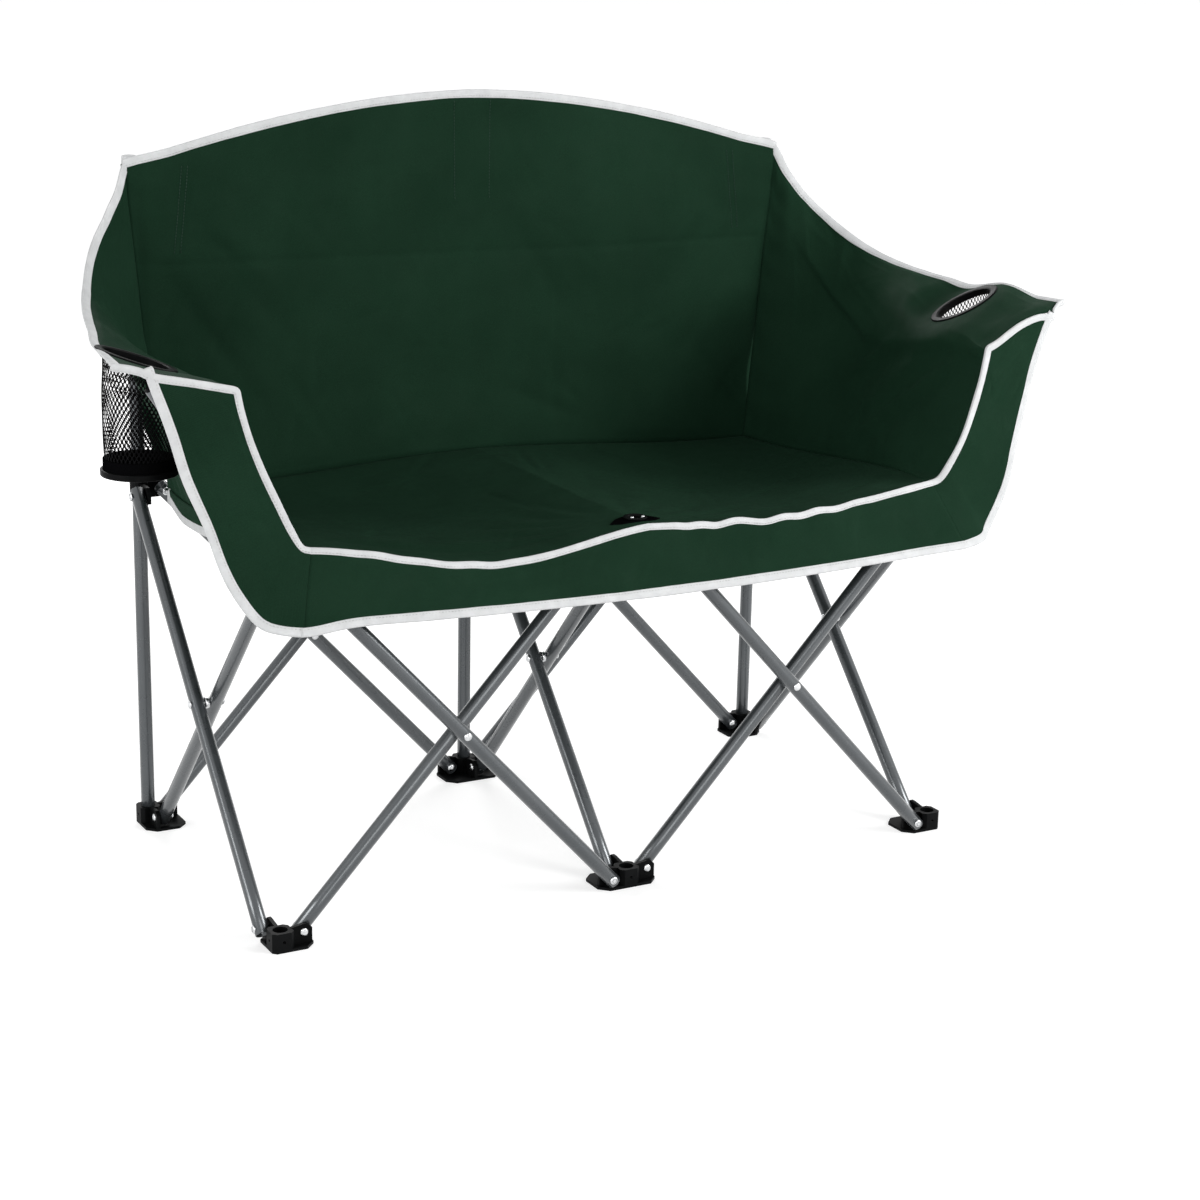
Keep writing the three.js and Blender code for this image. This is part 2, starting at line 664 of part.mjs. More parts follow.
const outerEdge = new THREE.CatmullRomCurve3([
  V(footSpacing + backCornerOut, backY, cornerTop),
  V(mix(footSpacing, wingX, 0.6), mix(backY, wingY, 0.28), mix(cornerTop, wingZ, 0.58)),
  V(wingX, wingY, wingZ),
  V(mix(wingX, armTipX, 0.55), mix(wingY, panelFrontY, 0.5), mix(wingZ, armTipZ, 0.95)),
  V(armTipX, panelFrontY + armTipBack, armTipZ),
]);
const bend = 0.1; // half the share of a cross-section that the turn takes
const rise = (w) => {
  if (w < 0.5 - bend) return 2 * w;
  if (w > 0.5 + bend) return 1;
  return 1 - (0.5 + bend - w) ** 2 / (2 * bend);
};
const reachOut = (w) => 1 - rise(1 - w);
function sidePoint(side, v, w) {
  const low = panelFoot(v);
  const middle = shoulder.getPoint(v);
  const high = outerEdge.getPoint(v);
  const p = low.clone();
  p.addScaledVector(V().subVectors(middle, low), rise(w));
  p.addScaledVector(V().subVectors(high, middle), reachOut(w));
  const across = v - mix(0.42, 0.86, w / 0.6); // from the crease, as a share of the panel's depth
  const near = (across * (backY - frontY)) / sideFoldWidth;
  p.x -= sideFold * Math.exp(-near * near) * bump(Math.min(1, w / 0.62));
  return V(side * p.x, Math.min(p.y, backY), p.z);
}
function sideOutward(side, v, w) {
  const step = 0.01;
  const ahead = sidePoint(side, v, Math.min(1, w + step)).sub(sidePoint(side, v, Math.max(0, w - step)));
  return V(side * ahead.z, 0, -side * ahead.x);
}
// Where a cup holder sits on a side panel, and which way is up and to the back there.
function cupSeat(side) {
  let [v, w] = [0.7, 0.85];
  const find = () => sidePoint(side, v, w);
  for (let round = 0; round < 30; round++) {
    v += ((find().y - frontY - cupBack) / (seatRearY - panelFrontY)) * 0.8;
    w += ((footSpacing + cupOut - side * find().x) / (armTipX - armInnerX)) * 0.4;
  }
  const step = 0.02;
  const out = sidePoint(side, v, w + step).sub(sidePoint(side, v, w - step)).normalize();
  const back = sidePoint(side, v - step, w).sub(sidePoint(side, v + step, w)).normalize();
  const up = V().crossVectors(out, back).multiplyScalar(side).normalize();
  return { at: find(), up, back: V().crossVectors(up, V().crossVectors(back, up)).normalize() };
}

for (const word of ["left", "right"]) {
  const side = sides[word];
  const { at, up, back } = cupSeat(side);
  const frame = new THREE.Matrix4().makeBasis(V().crossVectors(back, up), back, up).setPosition(at);
  const panel = sheet((v, w) => sidePoint(side, v, w), (v, w) => sideOutward(side, v, w), 17, 12);
  const drillRadius = cupCollarRadius + cupHoleClearance;
  const drill = new THREE.CylinderGeometry(drillRadius, drillRadius, cupRingRadius, cupSides);
  const flat = new THREE.CylinderGeometry(cupRingRadius + 1, cupRingRadius + 1, cupRingRadius, cupSides);
  flat.translate(0, cupRingRadius / 2 - cloth / 2, 0);
  const cuts = [drill, flat].map((cut) => solid(cut.rotateX(Math.PI / 2).applyMatrix4(frame)));
  place(`side_panel_${word}`, panel.subtract(union(cuts)), polyester);

  // Cup ring: a flange pressed into the cloth and a collar through it
  const low = seatGap - cloth / 2;
  const ring = revolved(
    [
      [cupBoreRadius, -cupCollarDepth],
      [cupCollarRadius, -cupCollarDepth],
      [cupCollarRadius, low],
      [cupRingRadius, low],
      [cupRingRadius, low + cupFlange * 0.6],
      [cupRingRadius - cupFlange, low + cupFlange],
      [cupBoreRadius, low + cupFlange],
      [cupBoreRadius, -cupCollarDepth],
    ],
    cupSides,
  ).rotateX(Math.PI / 2);
  const ringPiece = place(`cup_ring_${word}`, solid(ring), plastic);
  ringPiece.position.copy(at);
  ringPiece.quaternion.setFromRotationMatrix(frame);

  // Cup sleeve: a net tube that hangs straight down from the collar
  const inner = cupSleeveRadius - cupSleeveWall;
  const sleeveBottom = at.z - cupDepth;
  const tall = cupRingRadius;
  const sleeve = revolved(
    [
      [inner, -cupDepth],
      [cupSleeveRadius, -cupDepth],
      [cupSleeveRadius, tall],
      [inner, tall],
      [inner, -cupDepth],
    ],
    cupSides,
  ).rotateX(Math.PI / 2).translate(at.x, at.y, at.z);
  const slab = new THREE.BoxGeometry(4 * cupRingRadius, 4 * cupRingRadius, 2 * tall);
  slab.translate(0, 0, tall - cupCollarDepth - seatGap).applyMatrix4(frame);
  place(`cup_sleeve_${word}`, solid(sleeve).subtract(solid(slab)), mesh);

  // Cup base: the solid disc that closes the sleeve
  const base = cylinderZ(cupBaseRadius, -cupBaseThickness - seatGap, -seatGap, cupSides);
  place(`cup_base_${word}`, base, plastic).position.set(at.x, at.y, sleeveBottom);
}

// Front band: hangs from the seat's front edge and flares forward.
const bandSeamX = footSpacing - bandSeamInset;
const bandEndX = bandSeamX + bandSeamRake;
const bandTop = (x) => seatPoint((x / (seatEdgeX(0) - sideGap) + 1) / 2, 0);
const bandBottomZ = (across) => hubPinHeight - bandDrop + bandEndRise * across ** 2;
const bandBottomY = faceY - bandFlare;
function bandPoint(u, v) {
  const across = 2 * u - 1;
  const top = bandTop(across * bandSeamX);
  const y = mix(bandBottomY, top.y - sideGap, v);
  return V(across * mix(bandEndX, bandSeamX, v), y, mix(bandBottomZ(across), top.z, v));
}
const forward = () => V(0, -1, 0);
place("front_band", sheet(bandPoint, forward, 22, 3), polyester);

// Arm bands: the fronts of the arms, over the arm posts, down to the front band's seams.
function bandEdge(first, shares) {
  const points = shares.map(([out, up, ahead]) =>
    V(footSpacing + armReach * out, faceY - bandFlare * ahead, hubPinHeight + armRise * up),
  );
  return new THREE.CatmullRomCurve3([first, ...points]);
}
const seamTop = bandTop(bandSeamX);
const innerEdge = bandEdge(V(bandSeamX + sideGap, seamTop.y - sideGap, seamTop.z), bandInnerShares);
const lowerEdge = bandEdge(V(bandEndX + sideGap, bandBottomY, bandBottomZ(1)), bandOuterShares);
for (const word of ["left", "right"]) {
  const side = sides[word];
  const point = (u, v) => {
    const p = innerEdge.getPointAt(u).lerp(lowerEdge.getPointAt(u), v);
    return V(side * p.x, Math.min(p.y, faceY), p.z);
  };
  place(`arm_band_${word}`, sheet(point, forward, 17, 3), polyester);
}

export default loveseat;
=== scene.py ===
"""Folding camping loveseat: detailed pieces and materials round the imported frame.
Sizes are in millimetres and are turned into metres where a mesh is made."""

import json
import math

import bmesh
import bpy
import numpy as np
from mathutils import Matrix, Vector

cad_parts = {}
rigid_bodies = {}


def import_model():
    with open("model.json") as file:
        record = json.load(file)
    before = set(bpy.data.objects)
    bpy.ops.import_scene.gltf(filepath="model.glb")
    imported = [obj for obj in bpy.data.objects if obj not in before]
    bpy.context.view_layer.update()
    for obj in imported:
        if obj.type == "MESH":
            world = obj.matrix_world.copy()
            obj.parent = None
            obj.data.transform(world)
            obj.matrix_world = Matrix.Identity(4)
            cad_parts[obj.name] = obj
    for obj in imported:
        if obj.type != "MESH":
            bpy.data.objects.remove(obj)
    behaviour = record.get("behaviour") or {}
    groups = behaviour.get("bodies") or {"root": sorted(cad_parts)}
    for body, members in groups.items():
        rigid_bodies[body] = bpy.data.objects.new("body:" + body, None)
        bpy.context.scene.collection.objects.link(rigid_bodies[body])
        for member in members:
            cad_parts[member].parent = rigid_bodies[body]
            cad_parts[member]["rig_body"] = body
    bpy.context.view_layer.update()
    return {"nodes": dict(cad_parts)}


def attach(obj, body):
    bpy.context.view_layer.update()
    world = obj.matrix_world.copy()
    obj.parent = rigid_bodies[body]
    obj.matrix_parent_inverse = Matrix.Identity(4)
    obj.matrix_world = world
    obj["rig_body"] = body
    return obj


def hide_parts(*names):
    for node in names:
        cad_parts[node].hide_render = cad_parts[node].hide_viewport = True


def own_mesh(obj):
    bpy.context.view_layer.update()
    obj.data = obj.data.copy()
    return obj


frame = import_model()
MM = 0.001

# Camera: turned to the right, looking down, and rolled a little
FOCAL_PIXELS = 2472.98
FRAME_PIXELS = 1200
SENSOR = 36
YAW = math.radians(29.220)
PITCH = math.radians(15.445)
ROLL = math.radians(1.257)
CAMERA_PLACE = Vector((-1.5495, -2.9090, 1.2499))

# Frame layout, as in the part
FOOT_SPACING = 495
PIN_INSET_X = 31
PIN_INSET_Y = 33
FOOT_PIN_HEIGHT = 18
HUB_PIN_HEIGHT = 482
FRONT_OVERHANG = 46
TUBE_RADIUS = 9.5
TUBE_WALL = 1.2
TUBE_END = 9
PIN_RADIUS = 2.9
HEAD_RADIUS = 5.4
HEAD_HEIGHT = 2.5
RUNNING_GAP = 0.5
SEAT_GAP = 0.3
SIDE_GAP = 2 * SEAT_GAP
WALL = 5
FORK_PIVOT_RISE = 16
POST_BOTTOM = 4.3
OUTER_POST_RISE = 437
MIDDLE_POST_RISE = 521
ARM_POST_TIP_SHARES = (0.783, 0.905)
CAP_HEIGHT = 3

# Fabric shell, as in the part
CLOTH = 4
SEAT_FRONT_INSET = 33
SEAT_REAR_INSET = 34
SEAT_EDGE_BOW = 16
SEAT_FRONT_RISE = 33
SEAT_FRONT_MIDDLE_RISE = 21.5
SEAT_REAR_RISE = 5
SEAT_REAR_MIDDLE_RISE = 24
SEAT_SAG = 30
SEAT_FRONT_REACH = 13
SEAT_FRONT_BOW = 20
SEAT_REAR_REACH = 28
DIP_LEFT = 22
DIP_RIGHT = 3
DIP_SHAPE = 0.94
BACK_RISE = 86
BACK_EDGE_INSET = 5
BACK_CORNER_OUT = 4
BACK_SLACK = 9
BACK_BLEND = 110
BACK_TOP_SHAPE = 1.8
POCKET_LENGTH = 136
BAND_DROP = 65
BAND_END_RISE = 14
BAND_FLARE = 54
BAND_SEAM_INSET = 40
BAND_SEAM_RAKE = 29
ARM_REACH = 189
ARM_RISE = 266
ARM_TIP_BACK = 20
WING_REACH = 101
WING_RISE = 297
WING_SHOULDER_REACH = 50
WING_SHOULDER_RISE = 207
WING_BACK = 142
SIDE_FOLD = 9
SIDE_FOLD_WIDTH = 34
SIDE_FOLD_ALONG = (0.42, 0.86)  # where the side panel's fold starts below and ends above
SIDE_FOLD_UP = (0.6, 0.62)
BAND_INNER_SHARES = (
    (-0.15, 0.14, 0.12),
    (-0.068, 0.235, 0.2),
    (0.01, 0.35, 0.25),
    (0.101, 0.5, 0.19),
    (0.175, 0.65, 0.12),
    (0.222, 0.79, 0.03),
    (0.244, 0.883, 0),
)
BAND_OUTER_SHARES = (
    (0.17, -0.18, 0.72),
    (0.238, -0.145, 0.54),
    (0.353, -0.025, 0.44),
    (0.428, 0.09, 0.4),
    (0.507, 0.275, 0.27),
    (0.619, 0.49, 0.06),
    (0.698, 0.69, 0),
    (0.836, 0.965, 0),
)
CUP_OUT = 115
CUP_LEAN = (-0.53, 0.23, 1)  # which way the ring faces once the arm's cloth hangs under it
CUP_LEAN_SHARE = {"left": 0.1, "right": 0.95}
CUP_SHIFT = (-7, 0, -2)  # the net pockets of both arms hang a little to the left
CUP_RIM_RADIUS = 51.5
CUP_BACK = 126
CUP_RING_RADIUS = 49
CUP_BORE_RADIUS = 40
CUP_COLLAR_DEPTH = 9
CUP_SLEEVE_RADIUS = 42
CUP_DEPTH = 132
CUP_BASE_RADIUS = 47
CUP_BASE_THICKNESS = 8
PATCH_WIDTH = 74
PATCH_DEPTH = 34
PATCH_HOLE_RADIUS = 11.5

# Detail that the solids leave out
SKIN = 2.6  # thickness of the fabric that shows
TAPE_WIDTH = 12
INNER_TAPE_WIDTH = 9.5  # along the seat's front edge
TAPE_THICKNESS = 4.8
TAPE_OVERLAP = 1.6  # of the tape past the fabric's edge
STITCH_LENGTH = 3
STITCH_PITCH = 4.4
STITCH_RADIUS = 0.45
FOLD_KEEP = 0.16  # of the fabric's width when the frame is folded up
FOLD_KEEP_DEPTH = 0.24

SPAN = FOOT_SPACING - 2 * PIN_INSET_X
FOOT_DEPTH = SPAN + 2 * PIN_INSET_Y
LAYER_OFFSET = WALL / 2 + RUNNING_GAP + TUBE_RADIUS
FRONT_Y = -FOOT_DEPTH / 2 + FRONT_OVERHANG / 2
REAR_Y = FOOT_DEPTH / 2 + FRONT_OVERHANG / 2
BACK_Y = REAR_Y - TUBE_RADIUS - SIDE_GAP - CLOTH
SEAT_REAR_Y = REAR_Y - SEAT_REAR_REACH
FACE_Y = FRONT_Y - TUBE_RADIUS - SIDE_GAP
SIDES = {"left": -1, "middle": 0, "right": 1}


def mix(a, b, t):
    return a + (b - a) * t


def smooth(x, low, high):
    t = np.clip((x - low) / (high - low), 0, 1)
    return t * t * (3 - 2 * t)


def bump(t):
    return np.sin(np.pi * t)


def points(x, y, z):
    return np.stack(np.broadcast_arrays(x, y, z), axis=-1).astype(float)


def unit(v):
    return v / np.maximum(np.linalg.norm(v, axis=-1, keepdims=True), 1e-9)


def post_top(side):
    return HUB_PIN_HEIGHT + (MIDDLE_POST_RISE if side == 0 else OUTER_POST_RISE)


class Curve:
    """A centripetal Catmull-Rom curve through points, as the part's curves are."""

    def __init__(self, through):
        p = np.array(through, float)
        self.points = np.vstack([2 * p[0] - p[1], p, 2 * p[-1] - p[-2]])
        self.count = len(p) - 1
        self.shares = np.linspace(0, 1, 201)
        steps = np.linalg.norm(np.diff(self.at(self.shares), axis=0), axis=1)
        self.lengths = np.concatenate([[0], np.cumsum(steps)])

    def at(self, share):
        place = np.clip(np.asarray(share, float), 0, 1) * self.count
        first = np.minimum(place.astype(int), self.count - 1)
        w = (place - first)[..., None]
        a, b, c, d = (self.points[first + k] for k in range(4))
        before, here, after = (
            np.sqrt(np.linalg.norm(q - p, axis=-1, keepdims=True)) for p, q in ((a, b), (b, c), (c, d))
        )
        start = ((b - a) / before - (c - a) / (before + here) + (c - b) / here) * here
        end = ((c - b) / here - (d - b) / (here + after) + (d - c) / after) * here
        bend = -3 * b + 3 * c - 2 * start - end
        return b + start * w + bend * w**2 + (2 * b - 2 * c + start + end) * w**3

    def at_length(self, share):
        goal = np.asarray(share, float) * self.lengths[-1]
        return self.at(np.interp(goal, self.lengths, self.shares))


# Fine relief of the cloth
NOISE_CELLS = 61


def noise(x, y, size, seed):
    """Soft random heights from -1 to 1, with swells about as wide as size."""
    table = np.random.default_rng(seed).uniform(-1, 1, (NOISE_CELLS, NOISE_CELLS))
    gx, gy = np.asarray(x) / size, np.asarray(y) / size
    ix, iy = np.floor(gx).astype(int), np.floor(gy).astype(int)
    fx, fy = smooth(gx - ix, 0, 1), smooth(gy - iy, 0, 1)

    def corner(i, j):
        return table[(ix + i) % NOISE_CELLS, (iy + j) % NOISE_CELLS]

    low = mix(corner(0, 0), corner(1, 0), fx)
    return mix(low, mix(corner(0, 1), corner(1, 1), fx), fy)


RIDGE_OFFSET = 1.9  # of the ridge beside a fold, in widths of its valley
RIDGE_WIDTH = 1.5
RIDGE_HEIGHT = 0.55


def crease(x, y, start, end, width, depth):
    """A fold from start to end that fades at both ends: a valley with a soft ridge beside it."""
    along = np.subtract(end, start).astype(float)
    length = np.hypot(*along)
    along /= length
    s = (x - start[0]) * along[0] + (y - start[1]) * along[1]
    d = (y - start[1]) * along[0] - (x - start[0]) * along[1]
    fade = bump(np.clip(s / length, 0, 1))
    valley = np.exp(-((d / width) ** 2))
    ridge = np.exp(-(((d - RIDGE_OFFSET * width) / (RIDGE_WIDTH * width)) ** 2))
    return depth * fade * (RIDGE_HEIGHT * ridge - valley)


def creases(x, y, rows, sign=1):
    """Folds of (start, end, width, depth), mirrored where sign is -1."""
    total = 0
    for (x0, y0), (x1, y1), width, depth in rows:
        total = total + crease(x, y, (sign * x0, y0), (sign * x1, y1), width, depth)
    return total


def fine_creases(x, y, box, count, length, seed, heading=0.0, spread=0.6, depth=0.8, width=5.0):
    """Many small creases at random places in a box, roughly along one heading in radians."""
    rng = np.random.default_rng(seed)
    (x0, y0), (x1, y1) = box
    total = np.zeros(np.broadcast(x, y).shape)
    for _ in range(count):
        middle = np.array([rng.uniform(x0, x1), rng.uniform(y0, y1)])
        turn = heading + rng.normal(0, spread)
        half = 0.5 * length * rng.uniform(0.5, 1.3) * np.array([math.cos(turn), math.sin(turn)])
        size = rng.uniform(0.5, 1.2)
        total += crease(x, y, middle - half, middle + half, width * size, depth * size)
    return total


def pucker(s, distance, pitch, depth, reach, seed):
    """Small waves across an edge, which die away from it. s runs along the edge."""
    wander = noise(s, 0 * s, 4 * pitch, seed) * 2.2
    strength = 0.6 + 0.4 * noise(s, 0 * s + 9, 7 * pitch, seed + 1)
    return depth * strength * np.sin(2 * np.pi * s / pitch + wander) * np.exp(-distance / reach)


# Surfaces of the fabric, as in the part
CORNER_TOP = post_top(-1) + CAP_HEIGHT + CLOTH
LEVEL_MIDDLE = 0.12  # share of the seat's half width that stays as high as its middle


def back_top_z(x):
    return CORNER_TOP + BACK_RISE * (1 - (np.abs(x) / (FOOT_SPACING + BACK_CORNER_OUT)) ** BACK_TOP_SHAPE)


def seat_edge_x(v):
    return FOOT_SPACING - mix(SEAT_FRONT_INSET, SEAT_REAR_INSET, v) + SEAT_EDGE_BOW * bump(v)


def seat_edge_z(v):
    return HUB_PIN_HEIGHT + mix(SEAT_FRONT_RISE, SEAT_REAR_RISE, smooth(v, 0, 0.9))


def seat_middle_z(v):
    return HUB_PIN_HEIGHT + mix(SEAT_FRONT_MIDDLE_RISE, SEAT_REAR_MIDDLE_RISE, v)


def seat_front_y(across):
    return FRONT_Y - SEAT_FRONT_REACH - SEAT_FRONT_BOW * (1 - across**4)


def seat_point(u, v):
    across = 2 * u - 1
    x = across * (seat_edge_x(v) - SIDE_GAP)
    y = mix(seat_front_y(across), SEAT_REAR_Y - SIDE_GAP, v)
    level = mix(seat_middle_z(v), seat_edge_z(v), smooth(np.abs(across), LEVEL_MIDDLE, 1))
    hollow = SEAT_SAG * bump(np.abs(across)) * bump(v * 0.86 + 0.1)
    dip = np.where(across < 0, DIP_LEFT, DIP_RIGHT) * bump(np.abs(across) ** DIP_SHAPE) ** 2
    return points(x, y, level - hollow - dip * (1 - smooth(v, 0, 0.3)))


def back_bottom_z(x):
    share = np.minimum(1, np.abs(x) / seat_edge_x(1))
    return mix(seat_middle_z(1), seat_edge_z(1), smooth(share, LEVEL_MIDDLE, 1))


def back_point(u, v):
    across = 2 * u - 1
    x = across * mix(seat_edge_x(1), FOOT_SPACING - BACK_EDGE_INSET - SIDE_GAP, smooth(v, 0, 0.22))
    bottom = back_bottom_z(x)
    z = mix(bottom + SIDE_GAP, back_top_z(x), v)
    forward = (BACK_Y - SEAT_REAR_Y) * (1 - smooth(z, bottom, bottom + BACK_BLEND))
    return points(x, BACK_Y - forward - BACK_SLACK * bump(np.abs(across)) * bump(v), z)


REAR_SHOULDER_SHARE = 0.48  # how far down the back the shoulder of the side panels starts
REAR_SHOULDER_Z = mix(CORNER_TOP, HUB_PIN_HEIGHT, REAR_SHOULDER_SHARE)
ARM_INNER_X = FOOT_SPACING + ARM_REACH * BAND_INNER_SHARES[-1][0]
ARM_INNER_Z = HUB_PIN_HEIGHT + ARM_RISE * BAND_INNER_SHARES[-1][1]
ARM_TIP_X = FOOT_SPACING + ARM_REACH
ARM_TIP_Z = HUB_PIN_HEIGHT + ARM_RISE
PANEL_FRONT_Y = FACE_Y + 2 * SIDE_GAP
WING_Y = REAR_Y - WING_BACK
WING_X = FOOT_SPACING + WING_REACH
WING_Z = HUB_PIN_HEIGHT + WING_RISE
WING_SHOULDER_X = FOOT_SPACING + WING_SHOULDER_REACH
WING_SHOULDER_Z = HUB_PIN_HEIGHT + WING_SHOULDER_RISE
WING_SHOULDER = np.array((WING_SHOULDER_X, WING_Y, WING_SHOULDER_Z))
ARM_CORNER = np.array((ARM_INNER_X, PANEL_FRONT_Y, ARM_INNER_Z))
SHOULDER = Curve(
    [
        (FOOT_SPACING - BACK_EDGE_INSET, BACK_Y, REAR_SHOULDER_Z),
        WING_SHOULDER,
        mix(WING_SHOULDER, ARM_CORNER, 0.6),
        ARM_CORNER,
    ]
)
OUTER_EDGE = Curve(
    [
        (FOOT_SPACING + BACK_CORNER_OUT, BACK_Y, CORNER_TOP),
        (mix(FOOT_SPACING, WING_X, 0.6), mix(BACK_Y, WING_Y, 0.28), mix(CORNER_TOP, WING_Z, 0.58)),
        (WING_X, WING_Y, WING_Z),
        (mix(WING_X, ARM_TIP_X, 0.55), mix(WING_Y, PANEL_FRONT_Y, 0.5), mix(WING_Z, ARM_TIP_Z, 0.95)),
        (ARM_TIP_X, PANEL_FRONT_Y + ARM_TIP_BACK, ARM_TIP_Z),
    ]
)
BEND = 0.1


def rise(w):
    turning = 1 - (0.5 + BEND - w) ** 2 / (2 * BEND)
    return np.where(w < 0.5 - BEND, 2 * w, np.where(w > 0.5 + BEND, 1, turning))


def side_point(v, w):
    """The right side panel. v runs from the back to the front, and w from the seat up and out."""
    low = points(seat_edge_x(1 - v), mix(SEAT_REAR_Y, PANEL_FRONT_Y, v), seat_edge_z(1 - v))
    middle = SHOULDER.at(v)
    high = OUTER_EDGE.at(v)
    p = low + (middle - low) * rise(w)[..., None] + (high - middle) * (1 - rise(1 - w))[..., None]
    near = (v - mix(*SIDE_FOLD_ALONG, w / SIDE_FOLD_UP[0])) * (BACK_Y - FRONT_Y) / SIDE_FOLD_WIDTH
    p[..., 0] -= SIDE_FOLD * np.exp(-near * near) * bump(np.minimum(1, w / SIDE_FOLD_UP[1]))
    p[..., 1] = np.minimum(p[..., 1], BACK_Y)
    return p


def band_top(x):
    return seat_point((x / (seat_edge_x(0) - SIDE_GAP) + 1) / 2, np.zeros_like(x))


BAND_SEAM_X = FOOT_SPACING - BAND_SEAM_INSET
BAND_END_X = BAND_SEAM_X + BAND_SEAM_RAKE
BAND_BOTTOM_Y = FACE_Y - BAND_FLARE


def band_bottom_z(across):
    return HUB_PIN_HEIGHT - BAND_DROP + BAND_END_RISE * across**2


def band_point(u, v):
    across = 2 * u - 1
    top = band_top(across * BAND_SEAM_X)
    y = mix(BAND_BOTTOM_Y, top[..., 1] - SIDE_GAP, v)
    z = mix(band_bottom_z(across), top[..., 2], v)
    return points(across * mix(BAND_END_X, BAND_SEAM_X, v), y, z)


def band_edge(first, shares):
    rest = [
        (FOOT_SPACING + ARM_REACH * out, FACE_Y - BAND_FLARE * ahead, HUB_PIN_HEIGHT + ARM_RISE * up)
        for out, up, ahead in shares
    ]
    return Curve([first, *rest])


SEAM_TOP = band_top(np.array(float(BAND_SEAM_X)))
INNER_EDGE = band_edge((BAND_SEAM_X + SIDE_GAP, SEAM_TOP[1] - SIDE_GAP, SEAM_TOP[2]), BAND_INNER_SHARES)
BAND_CORNER = (BAND_END_X + SIDE_GAP, BAND_BOTTOM_Y, float(band_bottom_z(1)))
OUTER_BAND_EDGE = band_edge(BAND_CORNER, BAND_OUTER_SHARES)


def arm_point(u, v):
    p = mix(INNER_EDGE.at_length(u), OUTER_BAND_EDGE.at_length(u), v[..., None])
    p[..., 1] = np.minimum(p[..., 1], FACE_Y)
    return p


CUP_SEARCH_STEPS = 30  # by which the cup holder's place on the side panel is found
CUP_SEARCH_REACH = 0.02


def cup_seat(lean):
    """Where the right cup holder sits on the side panel, with its backward and up directions."""
    v, w = np.array(0.7), np.array(0.85)
    for _ in range(CUP_SEARCH_STEPS):
        v = v + (side_point(v, w)[1] - FRONT_Y - CUP_BACK) / (SEAT_REAR_Y - PANEL_FRONT_Y) * 0.8
        w = w + (FOOT_SPACING + CUP_OUT - side_point(v, w)[0]) / (ARM_TIP_X - ARM_INNER_X) * 0.4
    out = unit(side_point(v, w + CUP_SEARCH_REACH) - side_point(v, w - CUP_SEARCH_REACH))
    back = unit(side_point(v - CUP_SEARCH_REACH, w) - side_point(v + CUP_SEARCH_REACH, w))
    up = unit(mix(unit(np.cross(out, back)), unit(np.array(CUP_LEAN)), lean))
    back = unit(np.cross(up, np.cross(back, up)))
    return side_point(v, w), back, up


def cup_place(word):
    """Middle of a cup ring, with its backward and up directions."""
    centre, back, up = cup_seat(CUP_LEAN_SHARE[word])
    turn = np.array([SIDES[word], 1, 1])
    return centre * turn + CUP_SHIFT, unit(back * turn), unit(up * turn)


# Meshes
def make_object(name, vertices, faces, material, uv=None, flat=False):
    mesh = bpy.data.meshes.new(name)
    mesh.from_pydata((np.asarray(vertices, float) * MM).tolist(), [], [list(map(int, f)) for f in faces])
    mesh.materials.append(material)
    if not flat:
        mesh.polygons.foreach_set("use_smooth", np.ones(len(mesh.polygons), bool))
    if uv is not None:
        layer = mesh.uv_layers.new(name="cloth")
        corners = np.empty(len(mesh.loops), np.int32)
        mesh.loops.foreach_get("vertex_index", corners)
        layer.data.foreach_set("uv", (np.asarray(uv, float)[corners] * MM).astype(np.float32).ravel())
    mesh.update()
    made = bpy.data.objects.new(name, mesh)
    bpy.context.scene.collection.objects.link(made)
    return made


def grid(columns, rows):
    return np.meshgrid(np.linspace(0, 1, columns + 1), np.linspace(0, 1, rows + 1), indexing="ij")


def grid_normals(p):
    """Normals of a grid of points, from its neighbours."""
    return unit(np.cross(np.gradient(p, axis=0), np.gradient(p, axis=1)))


def grid_faces(columns, rows, offset=0, turned=False):
    i, j = np.meshgrid(np.arange(columns), np.arange(rows), indexing="ij")
    a = (i * (rows + 1) + j).ravel() + offset
    quads = np.stack([a, a + rows + 1, a + rows + 2, a + 1], axis=1)
    return quads[:, ::-1] if turned else quads


def cloth_lengths(p):
    """How far each grid point lies along the cloth from its grid's first edges."""
    across = np.linalg.norm(np.diff(p, axis=0), axis=2)
    down = np.linalg.norm(np.diff(p, axis=1), axis=2)
    u = np.concatenate([np.zeros((1, p.shape[1])), np.cumsum(across, axis=0)])
    v = np.concatenate([np.zeros((p.shape[0], 1)), np.cumsum(down, axis=1)], axis=1)
    u = u - u[p.shape[0] // 2]
    return np.stack([u, v], axis=-1)


def shifted(p, outward, distance=SKIN / 2):
    """A layer behind a grid of points, towards outward: as it stands, the middle of a skin."""
    normals = grid_normals(p)
    if np.sum(normals * np.asarray(outward, float)) < 0:
        normals = -normals
    return p + normals * distance


